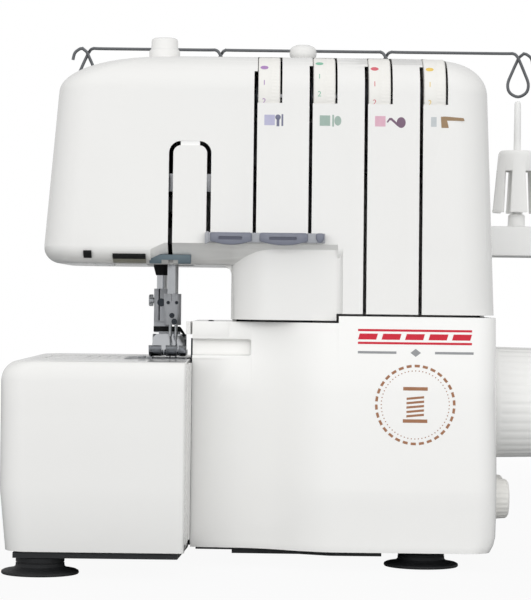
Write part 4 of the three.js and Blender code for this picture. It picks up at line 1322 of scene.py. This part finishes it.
# One wire from hook to hook, with a crossed teardrop eye over each spool.
def makeWire():
    reach = 148.5
    stops = [(-reach - 1.2, 0, -7.5), (-reach, 0, -3), (-reach + 3, 0, -0.4), (-reach + 5, 0, 0)]
    eye = [
        (-3.4, 0, 0), (-0.6, -1.3, -2.4), (0.9, -1.3, -5.4), (3.8, -0.9, -12), (6.6, -0.5, -19.5),
        (5.4, -0.2, -25.2), (0, 0, -28), (-5.4, 0.2, -25.2), (-6.6, 0.5, -19.5), (-3.8, 0.9, -12), (-0.9, 1.3, -5.4),
        (0.6, 1.3, -2.4), (3.4, 0, 0),
    ]
    centres = [x - poleX for x in spoolX]
    for i, centre in enumerate(centres):
        stops += [(centre + dx, dy, dz) for dx, dy, dz in eye]
        if i < 3:
            stops += [(centre + 12, 0, 0), (centres[i + 1] - 12, 0, 0)]
    stops += [(reach - 5, 0, 0), (reach - 3, 0, -0.4), (reach, 0, -3), (reach + 1.2, 0, -7.5)]
    return swept("guide_wire_steel", [(poleX + x, spoolY + y, wireZ + z) for x, y, z in stops], 1.0)


standFor(makeWire(), "guide_wire", material=materials["wire_steel"])


lifterOutline = [
    (36, 178), *arc((41, 182), 6.4, 130, 60, 4), (66.5, 160.5), *arc((64.4, 156), 4.2, 40, -90, 6),
    (58, 152.6),
]
lifter = gather("presser_lifter_lever", [
    extruded("blade", lifterOutline[::-1], -83.5, -77.5, "x", 1.1),
    rod("hub", "x", 6, -84.5, -76.5, 40, 182, 0.6),
])
standFor(lifter, "presser_lifter")
print("pole, wire and lifter made")


def frontY(z):
    return casing["front"] + casing["leanFront"] * max(0, z - casing["taperFrom"])


# A flat print drawn in X and Z, laid on the leaning front of the casing or the upright cover.
def printOnFront(name, shapes, colour, body):
    marks = []
    for outline in shapes:
        rings = [[(x, frontY(z) + depth, z) for x, z in outline] for depth in (-0.06, 0.06)]
        marks.append(skin("mark", rings, flip=True))
    return addOn(gather(name, marks), body, inks[colour])


def stripe(x0, x1, z0, z1, lean=0.0):
    return [(x0, z0), (x1, z0), (x1 + lean, z1), (x0 + lean, z1)]


def disc(x, z, radius, steps=32, squeeze=1.0):
    angles = [2 * math.pi * i / steps for i in range(steps)]
    return [(x + radius * math.cos(a), z + squeeze * radius * math.sin(a)) for a in angles]


# A running stitch in red, with two grey rules and a diamond below it.
stitch = {"left": 34, "count": 5, "length": 10.4, "pitch": 13.4, "low": 129.6, "high": 138.2, "lean": 1.6}
stitches = []
for i in range(stitch["count"]):
    x = stitch["left"] + i * stitch["pitch"]
    stitches.append(
        stripe(x, x + stitch["length"], stitch["low"] + 2.6, stitch["high"] - 2.6, stitch["lean"] * 0.6),
    )
stitches.append(stripe(stitch["left"], stitch["left"] + 65, stitch["high"] - 1.3, stitch["high"], 0))
stitches.append(stripe(stitch["left"], stitch["left"] + 65, stitch["low"], stitch["low"] + 1.3, 0))
coverBody = bodyOf["looper_cover"]
printOnFront("red_stitch_stripe", stitches, "red", coverBody)
rules = [
    stripe(34, 56, 124.2, 125.6), stripe(78, 100, 124.2, 125.6),
    [(67, 122.6), (70, 124.9), (67, 127.2), (64, 124.9)],
]
printOnFront("grey_rules", rules, "grey", coverBody)


# A bronze ring of stitches round a spool of thread.
def badgeShapes(centre, radius):
    x0, z0 = centre
    shapes = []
    for i in range(30):
        a, b = math.radians(12 * i), math.radians(12 * i + 7.5)
        inner = radius - 1.5
        corners = ((inner, a), (radius, a), (radius, b), (inner, b))
        shapes.append([(x0 + r * math.cos(t), z0 + r * math.sin(t)) for r, t in corners])
    for i in range(60):
        a = math.radians(6 * i)
        shapes.append(disc(x0 + (radius - 3.6) * math.cos(a), z0 + (radius - 3.6) * math.sin(a), 0.35, 10))
    shapes.append(stripe(x0 - 7, x0 + 7, z0 + 8.2, z0 + 10.2))
    shapes.append(stripe(x0 - 7, x0 + 7, z0 - 10.2, z0 - 8.2))
    shapes += [
        [
            (x0 - 5, z0 - 7.2 + 2.5 * k), (x0 + 5, z0 - 6.2 + 2.5 * k), (x0 + 5, z0 - 4.9 + 2.5 * k),
            (x0 - 5, z0 - 5.9 + 2.5 * k),
        ] for k in range(5)
    ]
    return shapes


printOnFront("bronze_badge", badgeShapes((67.1, 95.2), 23), "bronze", coverBody)

# Small signs under the dials: a cloth patch with a needle or a looper beside it.
signZ = 257.2
patch = stripe(5, 11, -3, 3)
signs = {
    "sign_patch_1": ("lilac", [patch]),
    "sign_needle_1": (
        "slate", [stripe(12, 13.6, -3.6, 1), disc(12.8, 1.6, 1.6, 16), stripe(14.8, 15.8, -3.4, 3.4)],
    ),
    "sign_patch_2": ("sage", [patch]),
    "sign_needle_2": ("sage", [stripe(12.2, 13.2, -3.4, 3.4), disc(15.4, 0, 2, 18, 1.4)]),
    "sign_patch_3": ("pink", [patch]),
    "sign_looper_3": ("plum", [
        [(11.6, -0.4), (13.2, 2), (14.6, 2), (18.6, -1.6), (18, -2.8), (14.2, 0.6), (13.4, 0.6), (12.4, -0.8)],
        disc(20, -0.6, 2.6, 20, 1.2),
    ]),
    "sign_patch_4": ("silver", [stripe(5.4, 8.6, -2.8, 2.8)]),
    "sign_looper_4": ("tan", [
        [(11.4, -3.4), (15.6, -3.4), (14.6, 0.8), (24.6, 0.8), (24, 2.4), (13.6, 3.2), (11, 3)],
    ]),
}
for name, (colour, shapes) in signs.items():
    x = slotX[int(name[-1]) - 1]
    printOnFront(name, [[(x + dx, signZ + dz) for dx, dz in shape] for shape in shapes], colour, "machine")
print("printing made")


# Screws that hold the rear casing.
for i, (x, z) in enumerate([(-112, 262), (80, 262), (-30, 30), (95, 30)]):
    y = casing["back"] - casing["leanBack"] * max(0, z - casing["taperFrom"]) + 0.1 + (0.6 if z < 141 else 0)
    addOn(
        makeScrew(f"rear_casing_screw_{i + 1}", (x, y, z), 3.4, (0, 1, 0)), "machine",
        materials["dark_steel"],
    )


# The frame's own parts that stay get eased edges and their real finish, except the tension discs: they get the
# near-black steel as painted shade for their dark slots.
eased = {
    "main_frame": 0.8, "main_shaft": 0.4, "motor": 0.8, "motor_pulley": 0.3, "drive_belt": 0.2,
    "base_plate": 0.5, "cover_hinge_rod": 0.2, "tension_shaft": 0.2, "tension_discs_1": 0.1, "tension_discs_2": 0.1,
    "tension_discs_3": 0.1, "tension_discs_4": 0.1, "upper_looper": 0.25, "lower_looper": 0.25,
    "upper_knife": 0.15, "lower_knife": 0.15, "feed_dog": 0.15, "presser_spring": 0.05,
}
for node, width in eased.items():
    part = frame["nodes"][node]
    change = part.modifiers.new("eased_edges", "BEVEL")
    change.width = width * mm
    change.segments = 2
    change.limit_method = "ANGLE"
    change.angle_limit = math.radians(40)
    part.data.materials.clear()
    # Tension discs are polished steel; the near-black here is painted shade.
    look = "dark_steel" if node.startswith("tension_discs") else slotOf[node]
    part.data.materials.append(materials[look])
print("frame parts finished")


studio = {
    "floor": ("#9C9E9F", "#969899"), "world": 1.0, "fill": 0.72, "whiten": 0.94, "fadeFrom": 0.45,
    "fadeTo": 1.5,
}
floor = newPiece(
    "studio_floor", [(-9000, -9000, 0), (9000, -9000, 0), (9000, 9000, 0), (-9000, 9000, 0)], [[0, 1, 2, 3]],
)
# Matt paint: the floor takes soft shadows and shows no shine.
dress(floor, finish("painted_studio_floor", studio["floor"], 900, 3, 0.02, (0.7, 0.8), {}))


# The lens sees the floor whitened, and wholly white far out, so that it runs into the backdrop with no edge.
def whitenFloor(material):
    tree = material.node_tree
    output = next(node for node in tree.nodes if node.type == "OUTPUT_MATERIAL")
    painted = output.inputs["Surface"].links[0].from_socket
    place = addNode(tree, "ShaderNodeTexCoord").outputs["Object"]
    reach = addNode(tree, "ShaderNodeVectorMath", {0: place}, operation="LENGTH").outputs["Value"]
    farness = addNode(tree, "ShaderNodeMapRange", {
        "Value": reach, "From Min": studio["fadeFrom"], "From Max": studio["fadeTo"],
        "To Min": studio["whiten"], "To Max": 1.0,
    }, interpolation_type="SMOOTHSTEP").outputs["Result"]
    seen = addNode(tree, "ShaderNodeLightPath").outputs["Is Camera Ray"]
    factor = addNode(tree, "ShaderNodeMath", {0: farness, 1: seen}, operation="MULTIPLY").outputs[0]
    white = addNode(tree, "ShaderNodeEmission", {"Color": (1, 1, 1, 1), "Strength": 1.0})
    both = addNode(tree, "ShaderNodeMixShader", {"Fac": factor, 1: painted, 2: white.outputs["Emission"]})
    tree.links.new(both.outputs["Shader"], output.inputs["Surface"])


whitenFloor(floor.data.materials[0])
world = bpy.data.worlds.new("studio")
scene.world = world
world.use_nodes = True
sky = world.node_tree
sky.nodes.clear()
seen = addNode(sky, "ShaderNodeLightPath").outputs["Is Camera Ray"]
strength = addNode(
    sky, "ShaderNodeMapRange", {"Value": seen, "To Min": studio["fill"], "To Max": studio["world"]},
).outputs["Result"]
glow = addNode(sky, "ShaderNodeBackground", {"Color": (1, 1, 1, 1), "Strength": strength})
addNode(sky, "ShaderNodeOutputWorld", {"Surface": glow.outputs["Background"]})
scene.view_settings.view_transform = "Standard"


def softbox(name, place, target, size, watts, mirrored=True):
    light = bpy.data.lights.new(name, "AREA")
    light.shape = "RECTANGLE"
    light.size, light.size_y = size
    light.energy = watts
    lamp = bpy.data.objects.new(name, light)
    scene.collection.objects.link(lamp)
    lamp.location = place
    lamp.visible_glossy = mirrored
    lamp.rotation_euler = (Vector(target) - Vector(place)).to_track_quat("-Z", "Y").to_euler()


# The wide front light leaves no mirror image in the glossy leaning head.
softbox("front_softbox", (-0.2, -2.6, 0.6), (-0.2, 0, 0.1), (3.4, 1.1), 42, mirrored=False)
softbox("top_softbox", (0, -0.2, 2.4), (0, 0, 0), (2.4, 2.4), 2)
